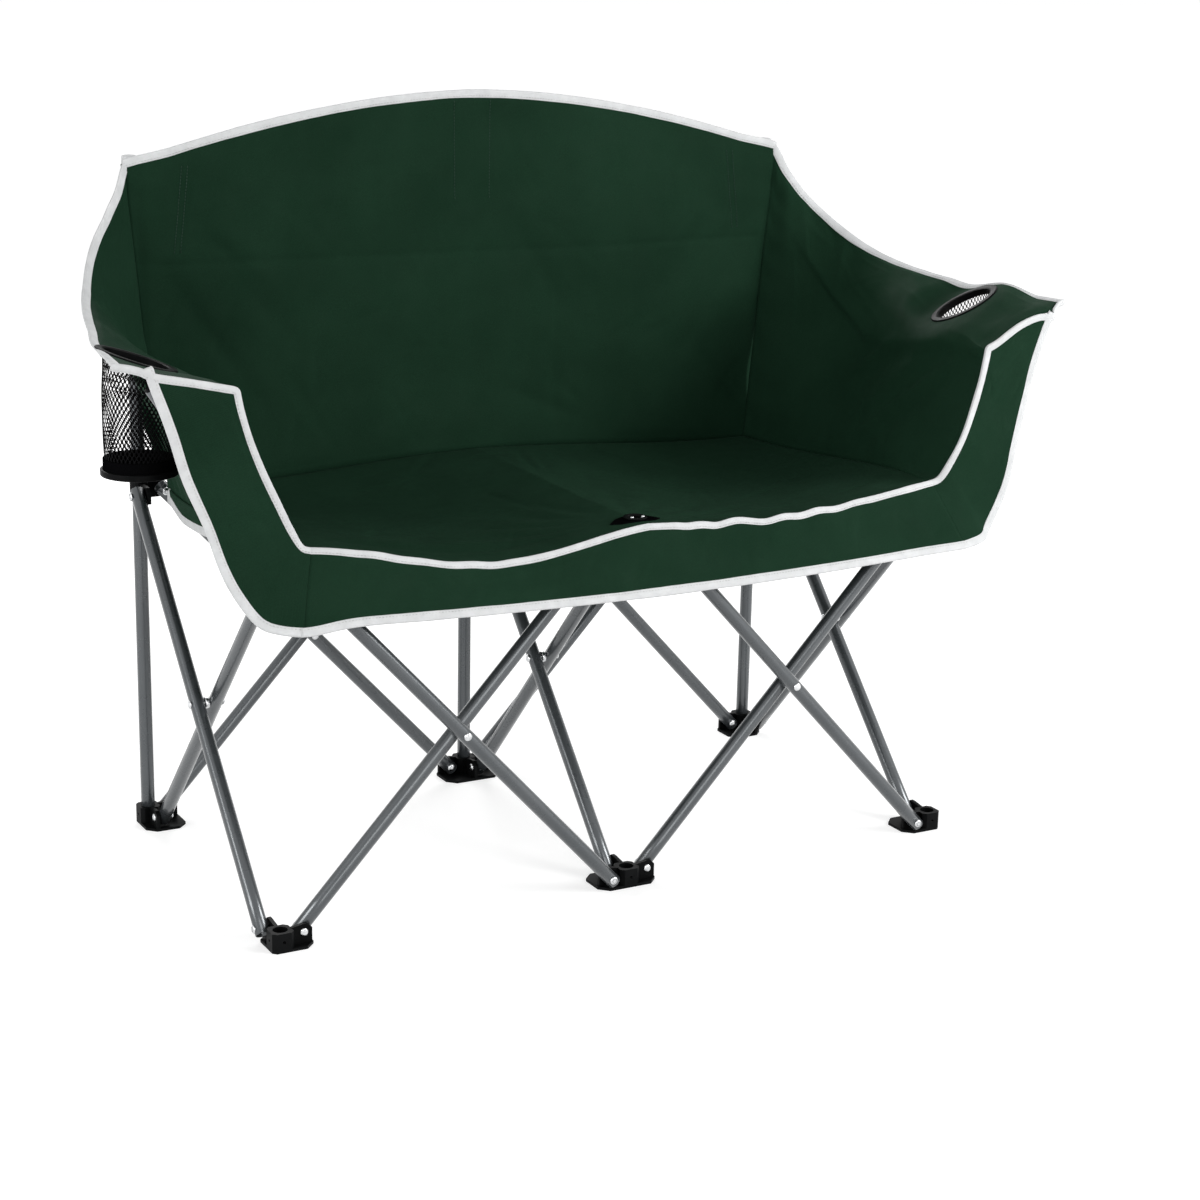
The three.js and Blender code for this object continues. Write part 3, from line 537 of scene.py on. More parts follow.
def closed_sheet(name, front, outward, material, thickness=SKIN):
    """A closed skin. front is the grid of its seen face, and outward a rough direction to its far face."""
    n, m = front.shape[0] - 1, front.shape[1] - 1
    behind = shifted(front, outward, thickness)
    vertices = np.concatenate([front.reshape(-1, 3), behind.reshape(-1, 3)])
    layer = (n + 1) * (m + 1)
    faces = [grid_faces(n, m), grid_faces(n, m, layer, True)]
    ring = [i * (m + 1) for i in range(n + 1)]
    ring += [n * (m + 1) + j for j in range(1, m + 1)]
    ring += [i * (m + 1) + m for i in range(n - 1, -1, -1)]
    ring += [j for j in range(m - 1, 0, -1)]
    ring = np.array(ring)
    following = np.roll(ring, -1)
    faces.append(np.stack([following, ring, ring + layer, following + layer], axis=1))
    faces = np.concatenate(faces)
    a, b, c, d = (vertices[faces[:, k]] for k in range(4))
    if np.sum((a + b + c + d) * np.cross(c - a, d - b)) < 0:
        faces = faces[:, ::-1]
    lengths = cloth_lengths(front).reshape(-1, 2)
    return make_object(name, vertices, faces, material, np.concatenate([lengths, lengths]))


def mirrored(p):
    return p * np.array([-1.0, 1.0, 1.0])


def path_lengths(path):
    """How far along a path each of its points lies."""
    return np.concatenate([[0], np.cumsum(np.linalg.norm(np.diff(path, axis=0), axis=1))])


def carried(path, values, at):
    """Values that belong to a path's points, at other places along it."""
    lengths = path_lengths(path)
    return np.stack([np.interp(at, lengths, values[:, k]) for k in range(3)], axis=1)


def resampled(path, step):
    """Points at even steps along a path, with how far along it they lie."""
    length = path_lengths(path)[-1]
    at = np.linspace(0, length, max(2, int(round(length / step)) + 1))
    return at, carried(path, path, at)


TAPE_STEP = 3.0
TAPE_PAST_END = 2.5
TAPE_SIDES = 18
TAPE_SQUARENESS = (0.8, 0.55)  # powers that square the tape's section, across it and through it
TAPE_ENDS = (0.72, 0.97)  # how far the section has grown at the first steps from each end
GROOVE_DEPTH = 0.22  # of the stitched groove, as a share of the tape's thickness
GROOVE_PLACE = 0.55
GROOVE_WIDTH = 0.16
TAPE_UNEVENNESS = 0.35
STITCHES_IN = 0.74  # share of the tape's width at which its stitches run
STITCHES_UP = 0.42


def tape(name, edge, inward, normal, material, seed, width=TAPE_WIDTH, thickness=TAPE_THICKNESS):
    """Binding tape folded over an edge. inward points into the cloth, and normal across it."""
    edge = edge.copy()
    edge[0] += unit(edge[0] - edge[1]) * TAPE_PAST_END
    edge[-1] += unit(edge[-1] - edge[-2]) * TAPE_PAST_END
    at, path = resampled(edge, TAPE_STEP)
    towards = carried(edge, inward, at)
    across = carried(edge, normal, at)
    along = unit(np.gradient(path, axis=0))
    towards = unit(towards - np.sum(towards * along, axis=1, keepdims=True) * along)
    beside = np.cross(along, towards)
    across = unit(beside) * np.sign(np.sum(beside * across, axis=1))[:, None]
    turn = np.linspace(0, 2 * np.pi, TAPE_SIDES, endpoint=False)
    cos, sin = np.cos(turn), np.sin(turn)
    flat = np.sign(cos) * np.abs(cos) ** TAPE_SQUARENESS[0]
    crown = np.sign(sin) * np.abs(sin) ** TAPE_SQUARENESS[1]
    crown = crown * (1 - GROOVE_DEPTH * np.exp(-(((flat - GROOVE_PLACE) / GROOVE_WIDTH) ** 2)))
    wave = noise(at, 0 * at, 34, seed) * 0.8 + noise(at, 0 * at + 3, 13, seed + 1) * 0.2
    wander = noise(at, 0 * at + 5, 70, seed + 2)
    half = width / 2 + TAPE_UNEVENNESS * wave
    thick = thickness / 2 * (1 + 0.08 * wave)
    centre = path + towards * (width / 2 - TAPE_OVERLAP) + across * (TAPE_UNEVENNESS * wander)[:, None]
    ring = (
        centre[:, None, :]
        + towards[:, None, :] * (half[:, None] * flat[None, :])[..., None]
        + across[:, None, :] * (thick[:, None] * crown[None, :])[..., None]
    )
    for k, share in enumerate(TAPE_ENDS):
        for index in (k, -1 - k):
            ring[index] = centre[index] + (ring[index] - centre[index]) * share**0.5
    vertices, faces = tube_of(ring)
    run = np.stack([np.repeat(at, TAPE_SIDES), np.tile(flat * width / 2, len(at))], axis=1)
    made = make_object(name, vertices, faces, material, np.concatenate([run, run[:1], run[-1:]]))
    seam = path + towards * (width * STITCHES_IN - TAPE_OVERLAP) + across * (thickness * STITCHES_UP)
    return [made, stitch_row(seam, across, name.replace("tape", "stitches"))]


def tube_of(rings):
    """Vertices and faces of a closed tube through rings of points, with a fan at each end."""
    count, around = rings.shape[0], rings.shape[1]
    k = np.arange(around)
    following = (k + 1) % around
    faces = []
    for i in range(count - 1):
        a = i * around
        faces.append(np.stack([a + k, a + following, a + around + following, a + around + k], axis=1))
    faces = [list(f) for f in np.concatenate(faces)]
    first, last = count * around, count * around + 1
    top = (count - 1) * around
    for a, b in zip(k, following):
        faces.append([first, b, a])
        faces.append([last, top + a, top + b])
    vertices = np.concatenate([rings.reshape(-1, 3), [rings[0].mean(axis=0)], [rings[-1].mean(axis=0)]])
    return outward_faces(vertices, faces)


def outward_faces(vertices, faces):
    """Turns the faces of a closed mesh so that they face outwards."""
    volume = 0.0
    centre = vertices.mean(axis=0)
    for f in faces:
        p = vertices[list(f)] - centre
        for i in range(1, len(f) - 1):
            volume += float(np.dot(p[0], np.cross(p[i], p[i + 1])))
    if volume < 0:
        faces = [list(f)[::-1] for f in faces]
    return vertices, faces


def stitch_row(path, normal, name, length=STITCH_LENGTH, pitch=STITCH_PITCH, radius=STITCH_RADIUS):
    """A row of single stitches: short threads that dive into the cloth at both ends."""
    at, line = resampled(path, pitch)
    up = carried(path, normal, at)
    along = unit(np.gradient(line, axis=0))
    up = unit(up - np.sum(up * along, axis=1, keepdims=True) * along)
    across = np.cross(along, up)
    places = np.array([-0.5, -0.28, 0.28, 0.5]) * length
    lift = np.array([-0.8, 0.35, 0.35, -0.8]) * radius
    size = np.array([0.55, 1, 1, 0.55]) * radius
    turn = np.linspace(0, 2 * np.pi, 6, endpoint=False)
    rings = (
        line[:, None, None, :]
        + along[:, None, None, :] * places[None, :, None, None]
        + up[:, None, None, :] * lift[None, :, None, None]
        + up[:, None, None, :] * (size[:, None] * np.sin(turn)[None, :])[None, :, :, None]
        + across[:, None, None, :] * (size[:, None] * np.cos(turn)[None, :])[None, :, :, None]
    )
    one_vertices, one_faces = tube_of(rings[0])
    vertices = []
    faces = []
    for k, stitch in enumerate(rings):
        ends = [stitch[0].mean(axis=0), stitch[-1].mean(axis=0)]
        vertices.append(np.concatenate([stitch.reshape(-1, 3), ends]))
        faces.extend([[index + k * len(one_vertices) for index in f] for f in one_faces])
    return make_object(name, np.concatenate(vertices), faces, THREAD)


def joined(name, pieces):
    """Joins pieces into one object of that name."""
    bpy.ops.object.select_all(action="DESELECT")
    for piece in pieces:
        piece.select_set(True)
    bpy.context.view_layer.objects.active = pieces[0]
    bpy.ops.object.join()
    pieces[0].name = name
    pieces[0].data.name = name
    return pieces[0]


def applied(piece):
    """Applies all modifiers of a piece."""
    depsgraph = bpy.context.evaluated_depsgraph_get()
    mesh = bpy.data.meshes.new_from_object(piece.evaluated_get(depsgraph))
    piece.modifiers.clear()
    piece.data = mesh
    return piece


def lathe(name, profile, material, sides=48, basis=None, at=(0, 0, 0)):
    """A closed profile of (radius, height) pairs turned about Z, then turned by basis and moved."""
    turn = np.linspace(0, 2 * np.pi, sides, endpoint=False)
    profile = np.array(profile, float)
    r, h = profile[:, 0], profile[:, 1]
    closed = not (r[0] < 1e-6 and r[-1] < 1e-6)
    ring = np.stack(
        [np.outer(r, np.cos(turn)), np.outer(r, np.sin(turn)), np.outer(h, np.ones(sides))], axis=-1
    )
    count = len(profile)
    k = np.arange(sides)
    following = (k + 1) % sides
    faces = []
    for i in range(count if closed else count - 1):
        a, b = i * sides, ((i + 1) % count) * sides
        faces.extend(np.stack([a + k, a + following, b + following, b + k], axis=1).tolist())
    vertices = ring.reshape(-1, 3)
    if basis is not None:
        vertices = vertices @ np.array(basis, float)
    vertices = vertices + np.array(at, float)
    vertices, faces = outward_faces(vertices, faces)
    made = make_object(name, vertices, faces, material)
    edit = bmesh.new()
    edit.from_mesh(made.data)
    bmesh.ops.remove_doubles(edit, verts=edit.verts, dist=1e-7)
    edit.to_mesh(made.data)
    edit.free()
    return made


def rounded(profile, corners, radius, steps=4):
    """A profile with the named corners rounded."""
    made = []
    count = len(profile)
    for k, p in enumerate(profile):
        if k not in corners:
            made.append(p)
            continue
        here = np.array(p, float)
        before = np.array(profile[k - 1], float)
        after = np.array(profile[(k + 1) % count], float)
        to_before = unit(before - here) * radius
        to_after = unit(after - here) * radius
        for step in range(steps + 1):
            t = step / steps
            made.append(tuple(here + to_before * (1 - t) ** 2 + to_after * t**2))
    return made


# Materials
def new_material(name):
    """A material with its node tree, its shader and its texture coordinates."""
    material = bpy.data.materials.new(name)
    material.use_nodes = True
    tree = material.node_tree
    return material, tree, tree.nodes["Principled BSDF"], tree.nodes.new("ShaderNodeTexCoord").outputs


def feed(tree, node, values):
    """Gives a node's inputs their values, their colours or the outputs they are linked to."""
    for socket, value in values.items():
        if value is None:
            continue
        if isinstance(value, (int, float)):
            node.inputs[socket].default_value = value
        elif isinstance(value, tuple):
            node.inputs[socket].default_value = (*value, 1)
        else:
            tree.links.new(value, node.inputs[socket])


def noise_node(tree, vector, scale, detail=3.0, roughness=0.5):
    made = tree.nodes.new("ShaderNodeTexNoise")
    feed(tree, made, {"Scale": scale, "Detail": detail, "Roughness": roughness, "Vector": vector})
    return made.outputs["Fac"]


def ramp_node(tree, factor, first, last, start=0.3, end=0.7):
    """Turns a factor into a colour between two, or into a grey where they are numbers."""
    made = tree.nodes.new("ShaderNodeValToRGB")
    for element, place, colour in zip(made.color_ramp.elements, (start, end), (first, last)):
        element.position = place
        element.color = (*colour, 1) if isinstance(colour, tuple) else (colour, colour, colour, 1)
    feed(tree, made, {"Fac": factor})
    return made.outputs["Color"]


def math_node(tree, operation, a, b=None, clamp=False):
    made = tree.nodes.new("ShaderNodeMath")
    made.operation = operation
    made.use_clamp = clamp
    feed(tree, made, {0: a, 1: b})
    return made.outputs["Value"]


def mix_colours(tree, factor, a, b, blend="MIX"):
    made = tree.nodes.new("ShaderNodeMix")
    made.data_type = "RGBA"
    made.blend_type = blend
    feed(tree, made, {0: factor, 6: a, 7: b})
    return made.outputs[2]


def bump_node(tree, height, distance, strength, normal=None):
    made = tree.nodes.new("ShaderNodeBump")
    feed(tree, made, {"Distance": distance, "Strength": strength, "Height": height, "Normal": normal})
    return made.outputs["Normal"]


def weave_height(tree, uv, pitch):
    """Plain weave: crossing threads that pass over and under each other, along the cloth."""
    parts = tree.nodes.new("ShaderNodeSeparateXYZ")
    tree.links.new(uv, parts.inputs["Vector"])
    warp = math_node(tree, "SINE", math_node(tree, "MULTIPLY", parts.outputs["X"], math.pi / pitch))
    weft = math_node(tree, "SINE", math_node(tree, "MULTIPLY", parts.outputs["Y"], math.pi / pitch))
    over = math_node(tree, "MULTIPLY", math_node(tree, "MULTIPLY", warp, weft), 0.5)
    warp_height = math_node(tree, "ABSOLUTE", warp)
    weft_height = math_node(tree, "ABSOLUTE", weft)
    return math_node(tree, "ADD", over, math_node(tree, "MAXIMUM", warp_height, weft_height))


def polyester(name, dark, light, weave=1.1 * MM, sheen=0.01, shine=0.03):
    material, tree, shader, spots = new_material(name)
    place = spots["Object"]
    height = weave_height(tree, spots["UV"], weave)
    tone = ramp_node(tree, noise_node(tree, place, 7.0, 4.0), dark, light)
    # shade is painted shade and highlight of the weave: the colour is darker where the threads dip under each
    # other and lighter on their crowns
    shade = ramp_node(tree, math_node(tree, "MULTIPLY", height, 0.66), 0.72, 1.12, 0.1, 0.9)
    fleck = ramp_node(tree, noise_node(tree, place, 900.0, 2.0), 0.86, 1.1, 0.35, 0.65)
    tone_in_weave_shade = mix_colours(tree, 1.0, tone, shade, "MULTIPLY")
    rumple = bump_node(tree, noise_node(tree, place, 30.0, 4.0), 0.0012, 0.35)
    looks = {
        "Base Color": mix_colours(tree, 1.0, tone_in_weave_shade, fleck, "MULTIPLY"),
        "Roughness": ramp_node(tree, noise_node(tree, place, 24.0), 0.62, 0.8),
        "Specular IOR Level": shine,
        "Sheen Weight": sheen,
        "Sheen Roughness": 0.45,
        "Sheen Tint": (0.55, 0.85, 0.68),
        "Normal": bump_node(tree, height, 0.00022, 0.7, rumple),
    }
    feed(tree, shader, looks)
    return material


def tape_material(name, dark, light):
    material, tree, shader, spots = new_material(name)
    place = spots["Object"]
    height = weave_height(tree, spots["UV"], 0.9 * MM)
    tone = noise_node(tree, place, 60.0, 4.0, 0.6)
    rumple = bump_node(tree, noise_node(tree, place, 110.0), 0.0009, 0.4)
    looks = {
        "Base Color": ramp_node(tree, tone, dark, light, 0.3, 0.66),
        "Roughness": ramp_node(tree, tone, 0.85, 0.7),
        "Specular IOR Level": 0.1,
        "Normal": bump_node(tree, height, 0.0002, 0.6, rumple),
    }
    feed(tree, shader, looks)
    return material


def painted_steel(name):
    material, tree, shader, spots = new_material(name)
    place = spots["Object"]
    mottle = noise_node(tree, place, 14.0, 5.0, 0.6)
    tone = ramp_node(tree, mottle, (0.07, 0.078, 0.084), (0.084, 0.092, 0.098))
    scuff = ramp_node(tree, noise_node(tree, place, 70.0, 8.0, 0.7), 0, 1, 0.66, 0.8)
    scuff = math_node(tree, "MULTIPLY", scuff, 0.12)
    looks = {
        "Base Color": mix_colours(tree, scuff, tone, (0.2, 0.21, 0.22)),
        "Metallic": 0.45,
        "Roughness": ramp_node(tree, noise_node(tree, place, 40.0, 4.0), 0.24, 0.32),
        "Coat Weight": 0.5,
        "Coat Roughness": 0.14,
        "Normal": bump_node(tree, noise_node(tree, place, 420.0), 0.0001, 0.25),
    }
    feed(tree, shader, looks)
    return material


def zinc_metal(name):
    material, tree, shader, spots = new_material(name)
    tone = noise_node(tree, spots["Object"], 260.0, 5.0, 0.6)
    looks = {
        "Base Color": ramp_node(tree, tone, (0.5, 0.51, 0.52), (0.78, 0.79, 0.8)),
        "Metallic": 1.0,
        "Roughness": ramp_node(tree, tone, 0.2, 0.36),
        "Normal": bump_node(tree, tone, 0.0001, 0.4),
    }
    feed(tree, shader, looks)
    return material


def moulded_plastic(name):
    material, tree, shader, spots = new_material(name)
    place = spots["Object"]
    tone = noise_node(tree, place, 30.0, 4.0)
    colour = ramp_node(tree, tone, (0.003, 0.0032, 0.0034), (0.0055, 0.0058, 0.006))
    edges = tree.nodes.new("ShaderNodeNewGeometry").outputs["Pointiness"]
    worn = math_node(tree, "MULTIPLY", ramp_node(tree, edges, 0, 1, 0.52, 0.62), 0.4)
    colour = mix_colours(tree, worn, colour, (0.018, 0.019, 0.02))
    dust = ramp_node(tree, noise_node(tree, place, 95.0, 7.0, 0.7), 0, 1, 0.58, 0.85)
    dust = math_node(tree, "MULTIPLY", dust, 0.15)
    looks = {
        "Base Color": mix_colours(tree, dust, colour, (0.03, 0.03, 0.029)),
        "Roughness": ramp_node(tree, tone, 0.36, 0.48),
        "Specular IOR Level": 0.03,
        "Normal": bump_node(tree, noise_node(tree, place, 1500.0, 2.0), 0.0001, 0.4),
    }
    feed(tree, shader, looks)
    return material


GREEN_DARK = (0.0080, 0.0278, 0.0145)
GREEN_LIGHT = (0.0112, 0.0365, 0.0195)
FABRIC = polyester("green_polyester", GREEN_DARK, GREEN_LIGHT)
TAPE = tape_material("binding_tape", (0.64, 0.65, 0.655), (0.73, 0.74, 0.745))
THREAD = tape_material("tape_thread", (0.45, 0.46, 0.46), (0.7, 0.7, 0.69))
GREEN_THREAD = tape_material("seam_thread", (0.02, 0.04, 0.03), (0.035, 0.065, 0.05))
STEEL = painted_steel("painted_steel")
ZINC = zinc_metal("zinc_metal")
PLASTIC = moulded_plastic("moulded_plastic")
NET = polyester("pocket_net", (0.004, 0.004, 0.0045), (0.009, 0.009, 0.0095), sheen=0)
WEBBING = polyester("patch_webbing", (0.003, 0.003, 0.0035), (0.0045, 0.0045, 0.005), 1.8 * MM, 0, 0)


# Camera, floor and light
def make_camera():
    data = bpy.data.cameras.new("camera")
    data.sensor_width = SENSOR
    data.lens = FOCAL_PIXELS / FRAME_PIXELS * SENSOR
    data.clip_end = 50
    camera = bpy.data.objects.new("camera", data)
    bpy.context.scene.collection.objects.link(camera)
    forward = Vector((math.sin(YAW) * math.cos(PITCH), math.cos(YAW) * math.cos(PITCH), -math.sin(PITCH)))
    level = Vector((math.cos(YAW), -math.sin(YAW), 0))
    upright = level.cross(forward)
    right = level * math.cos(ROLL) + upright * math.sin(ROLL)
    up = upright * math.cos(ROLL) - level * math.sin(ROLL)
    turn = Matrix((right, up, -forward)).transposed().to_4x4()
    camera.matrix_world = Matrix.Translation(CAMERA_PLACE) @ turn
    bpy.context.scene.camera = camera


FLOOR_REACH = 30000
FLOOR_TONES = (0.56, 0.58)
WORLD_FILL = 0.3  # what the world gives to the light on the object
FLOOR_GLOW = 0.55  # of the floor as it is seen round the object
FLOOR_GLOW_FAR = 0.9
FLOOR_NEAR = 2.4  # metres from the middle to where the far glow is reached


def seen_rays(tree):
    """1 on the rays by which something is seen, straight, mirrored or through, and 0 on the rest."""
    path = tree.nodes.new("ShaderNodeLightPath")
    straight = math_node(tree, "MAXIMUM", path.outputs["Is Camera Ray"], path.outputs["Is Glossy Ray"])
    return math_node(tree, "MAXIMUM", straight, path.outputs["Is Transmission Ray"])


def make_floor():
    """A white floor that keeps the object's shadow."""
    corners = [(-1, -1), (1, -1), (1, 1), (-1, 1)]
    vertices = [(FLOOR_REACH * x, FLOOR_REACH * y, 0) for x, y in corners]
    material, tree, shader, spots = new_material("floor")
    place = spots["Object"]
    away = tree.nodes.new("ShaderNodeVectorMath")
    away.operation = "LENGTH"
    tree.links.new(place, away.inputs[0])
    far = math_node(tree, "MULTIPLY", away.outputs["Value"], 1 / FLOOR_NEAR, clamp=True)
    glow = math_node(tree, "MULTIPLY_ADD", far, FLOOR_GLOW_FAR - FLOOR_GLOW)
    glow.node.inputs[2].default_value = FLOOR_GLOW
    looks = {
        "Base Color": ramp_node(tree, noise_node(tree, place, 3.0), *FLOOR_TONES),
        "Roughness": 0.9,
        "Specular IOR Level": 0.0,
        "Emission Color": (1.0, 1.0, 1.0),
        "Emission Strength": math_node(tree, "MULTIPLY", glow, seen_rays(tree)),
    }
    feed(tree, shader, looks)
    floor = make_object("floor", vertices, [(0, 1, 2, 3)], material, flat=True)


LAMPS = (  # name, place, what it points at, size and watts
    ("key", (2.5, -2.5, 1.75), (0, 0, 0.6), (1.7, 1.4), 106),
    ("front", (-0.9, -3.5, 1.2), (0, 0, 0.7), (1.6, 1.4), 23),
    ("left", (-3.3, -0.7, 1.2), (-0.4, 0, 0.55), (1.4, 1.4), 48),
    ("rear", (0.6, 3.0, 2.5), (0.1, 0, 0.7), (2.4, 1.0), 78),
)


def area_light(name, at, towards, size, power):
    data = bpy.data.lights.new(name, "AREA")
    data.shape = "RECTANGLE"
    data.size, data.size_y = size
    data.energy = power
    lamp = bpy.data.objects.new(name, data)
    bpy.context.scene.collection.objects.link(lamp)
    lamp.location = at
    lamp.rotation_euler = (Vector(towards) - Vector(at)).to_track_quat("-Z", "Y").to_euler()


def make_light():
    world = bpy.data.worlds.new("world")
    bpy.context.scene.world = world
    world.use_nodes = True
    tree = world.node_tree
    background = tree.nodes["Background"]
    background.inputs["Color"].default_value = (1, 1, 1, 1)
    extra = math_node(tree, "MULTIPLY", seen_rays(tree), 1 - WORLD_FILL)
    tree.links.new(math_node(tree, "ADD", extra, WORLD_FILL), background.inputs["Strength"])
    for lamp in LAMPS:
        area_light(*lamp)


make_camera()
make_floor()
make_light()
bpy.context.scene.view_settings.view_transform = "Standard"

# Tubes
TUBE_SIDES = 32
TUBE_LIP = 0.5
TUBE_FLARE = 0.4  # depth of the rolled lip inside
TUBE_STEPS = 12


def body_of(cad_node):
    return frame["nodes"][cad_node]["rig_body"]


def basis_on(direction, aside):
    """Three axes, of which the last is the direction and the first stands square to aside."""
    side = unit(np.cross(direction, aside))
    return [side, np.cross(direction, side), direction]


def tube_between(name, low, high, cad_node):
    """A tube with rolled ends, open at both, from one end's middle to the other's, for a CAD tube."""
    low, high = np.array(low, float), np.array(high, float)
    length = float(np.linalg.norm(high - low))
    along = (high - low) / length
    inner = TUBE_RADIUS - TUBE_WALL
    near_end = [
        (inner, TUBE_FLARE),
        (inner + TUBE_LIP, 0),
        (TUBE_RADIUS - TUBE_LIP, 0),
        (TUBE_RADIUS, TUBE_LIP),
    ]
    far_end = [(r, length - h) for r, h in near_end[::-1]]
    steps = [length * k / TUBE_STEPS for k in range(1, TUBE_STEPS)]
    profile = near_end + [(TUBE_RADIUS, h) for h in steps] + far_end + [(inner, h) for h in steps[::-1]]
    made = lathe(name, profile, STEEL, TUBE_SIDES, basis_on(along, [0.0, 1.0, 0.02]), low)
    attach(made, body_of(cad_node))
    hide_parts(cad_node)


def cross_tube(cad_node, low, high):
    """A crossing tube, from its lower pin to its upper one."""
    low, high = np.array(low, float), np.array(high, float)
    end = unit(high - low) * TUBE_END
    tube_between(cad_node.replace("_tube", "_steel"), low - end, high + end, cad_node)


HEAD_SIDES = 24
HEAD_RIM = 0.35
HEAD_SINK = 0.6  # how deep a head reaches into what it sits on
DOME_STEPS = 8


def dome(radius, height):
    """Profile of a domed rivet head."""
    made = [(0, -HEAD_SINK), (radius * 0.55, -HEAD_SINK), (radius, -HEAD_SINK), (radius, HEAD_RIM)]
    for k in range(1, DOME_STEPS):
        turn = k / DOME_STEPS * math.pi / 2
        made.append((radius * math.cos(turn) * 0.99, HEAD_RIM + (height - HEAD_RIM) * math.sin(turn)))
    return made + [(0, height)]


def head(name, at, direction):
    """One rivet head at a point of its face, with its dome towards direction."""
    basis = basis_on(unit(np.array(direction, float)), [0.3, 0.2, 0.93])
    return lathe(name, dome(HEAD_RADIUS, HEAD_HEIGHT), ZINC, HEAD_SIDES, basis, at)


SPACER_RADIUS = 7.6
SPACER_CHAMFER = 0.5


def cross_rivet(cad_node, at, axis):
    """Rivet of two crossing tubes: a head on either side, a spacer between them and the shank."""
    direction, at = np.array(axis, float), np.array(at, float)
    reach = LAYER_OFFSET + TUBE_RADIUS + SEAT_GAP
    pieces = [head("head", at + way * reach, way) for way in (direction, -direction)]
    basis = basis_on(direction, [0.0, 0.0, 1.0])
    half = LAYER_OFFSET - TUBE_RADIUS - SEAT_GAP
    spacer = [(0, -half), (SPACER_RADIUS - SPACER_CHAMFER, -half), (SPACER_RADIUS, -half + SPACER_CHAMFER)]
    spacer += [(r, -h) for r, h in spacer[::-1]]
    pieces.append(lathe("spacer", spacer, ZINC, HEAD_SIDES, basis, at))
    shank = [(0, -reach), (PIN_RADIUS, -reach), (PIN_RADIUS, reach), (0, reach)]
    pieces.append(lathe("shank", shank, ZINC, 16, basis, at))
    made = joined(cad_node + "_heads", pieces)
    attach(made, body_of(cad_node))
    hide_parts(cad_node)


MIDDLE_HEIGHT = (FOOT_PIN_HEIGHT + HUB_PIN_HEIGHT) / 2


def level_pair(name, x, y):
    """A crossing pair of the front or the rear, between the feet at x and at x + FOOT_SPACING."""
    left, right = x + PIN_INSET_X, x + FOOT_SPACING - PIN_INSET_X
    fore, aft = y - LAYER_OFFSET, y + LAYER_OFFSET
    cross_tube(f"{name}_tube_fore", (right, fore, FOOT_PIN_HEIGHT), (left, fore, HUB_PIN_HEIGHT))
    cross_tube(f"{name}_tube_aft", (left, aft, FOOT_PIN_HEIGHT), (right, aft, HUB_PIN_HEIGHT))
    cross_rivet(f"{name}_rivet", (x + FOOT_SPACING / 2, y, MIDDLE_HEIGHT), (0, 1, 0))


def side_pair(name, x):
    """A crossing pair that runs from the front to the rear."""
    front, rear = FRONT_Y + PIN_INSET_Y, REAR_Y - PIN_INSET_Y
    left, right = x - LAYER_OFFSET, x + LAYER_OFFSET
    cross_tube(f"{name}_tube_rising_back", (left, front, FOOT_PIN_HEIGHT), (left, rear, HUB_PIN_HEIGHT))
    cross_tube(f"{name}_tube_rising_front", (right, rear, FOOT_PIN_HEIGHT), (right, front, HUB_PIN_HEIGHT))
    cross_rivet(f"{name}_rivet", (x, (front + rear) / 2, MIDDLE_HEIGHT), (1, 0, 0))


for row, row_y in (("front", FRONT_Y), ("rear", REAR_Y)):
    level_pair(f"{row}_left", -FOOT_SPACING, row_y)
    level_pair(f"{row}_right", 0, row_y)
for word, side in SIDES.items():
    side_pair(f"side_{word}", side * FOOT_SPACING)
    post = f"back_post_{word}"
    bottom = (side * FOOT_SPACING, REAR_Y, POST_BOTTOM)
    top = (side * FOOT_SPACING, REAR_Y, post_top(side) - CAP_HEIGHT)
    tube_between(f"upright_{word}", bottom, top, post)

# Arm posts
ARM_PIVOT_Z = HUB_PIN_HEIGHT + FORK_PIVOT_RISE
ARM_POST_X = ARM_REACH * ARM_POST_TIP_SHARES[0]
ARM_POST_Z = ARM_RISE * ARM_POST_TIP_SHARES[1] - FORK_PIVOT_RISE
ARM_POST_LENGTH = math.hypot(ARM_POST_X, ARM_POST_Z)
for word in ("left", "right"):
    side = SIDES[word]
    along = np.array([side * ARM_POST_X, 0, ARM_POST_Z]) / ARM_POST_LENGTH
    pivot = np.array([side * FOOT_SPACING, FRONT_Y, ARM_PIVOT_Z])
    top = pivot + along * (ARM_POST_LENGTH - CAP_HEIGHT)
    tube_between(f"arm_steel_{word}", pivot - along * TUBE_END, top, f"arm_post_{word}")


# Rivet heads on the feet and hubs
def pin_heads(owner, centre, height, x_directions, y_direction, is_hub):
    """Heads over both ends of each of its pins. The tubes lie on the other side in feet than in hubs."""
    cx, cy = centre
    turn = 1 if is_hub else -1
    pins = [((cx + d * PIN_INSET_X, cy, height), (0, -d * turn, 0)) for d in x_directions]
    pins.append(((cx, cy + y_direction * PIN_INSET_Y, height), (y_direction * turn, 0, 0)))
    pieces = []
    for at, to_tube in pins:
        for direction, reach in ((1, LAYER_OFFSET + TUBE_RADIUS + SEAT_GAP), (-1, WALL / 2)):
            outwards = direction * np.array(to_tube, float)
            pieces.append(head("head", at + outwards * reach, outwards))
    made = joined(owner + "_heads", pieces)
    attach(made, body_of(owner))


for word, side in SIDES.items():
    inward = [-1, 1] if side == 0 else [-side]
    x = side * FOOT_SPACING
    pin_heads(f"foot_front_{word}", (x, FRONT_Y), FOOT_PIN_HEIGHT, inward, 1, False)
    pin_heads(f"foot_rear_{word}", (x, REAR_Y), FOOT_PIN_HEIGHT, inward, -1, False)
    pin_heads(f"hub_front_{word}", (x, FRONT_Y), HUB_PIN_HEIGHT, inward, 1, True)
    pin_heads(f"hub_slider_{word}", (x, REAR_Y), HUB_PIN_HEIGHT, inward, -1, True)

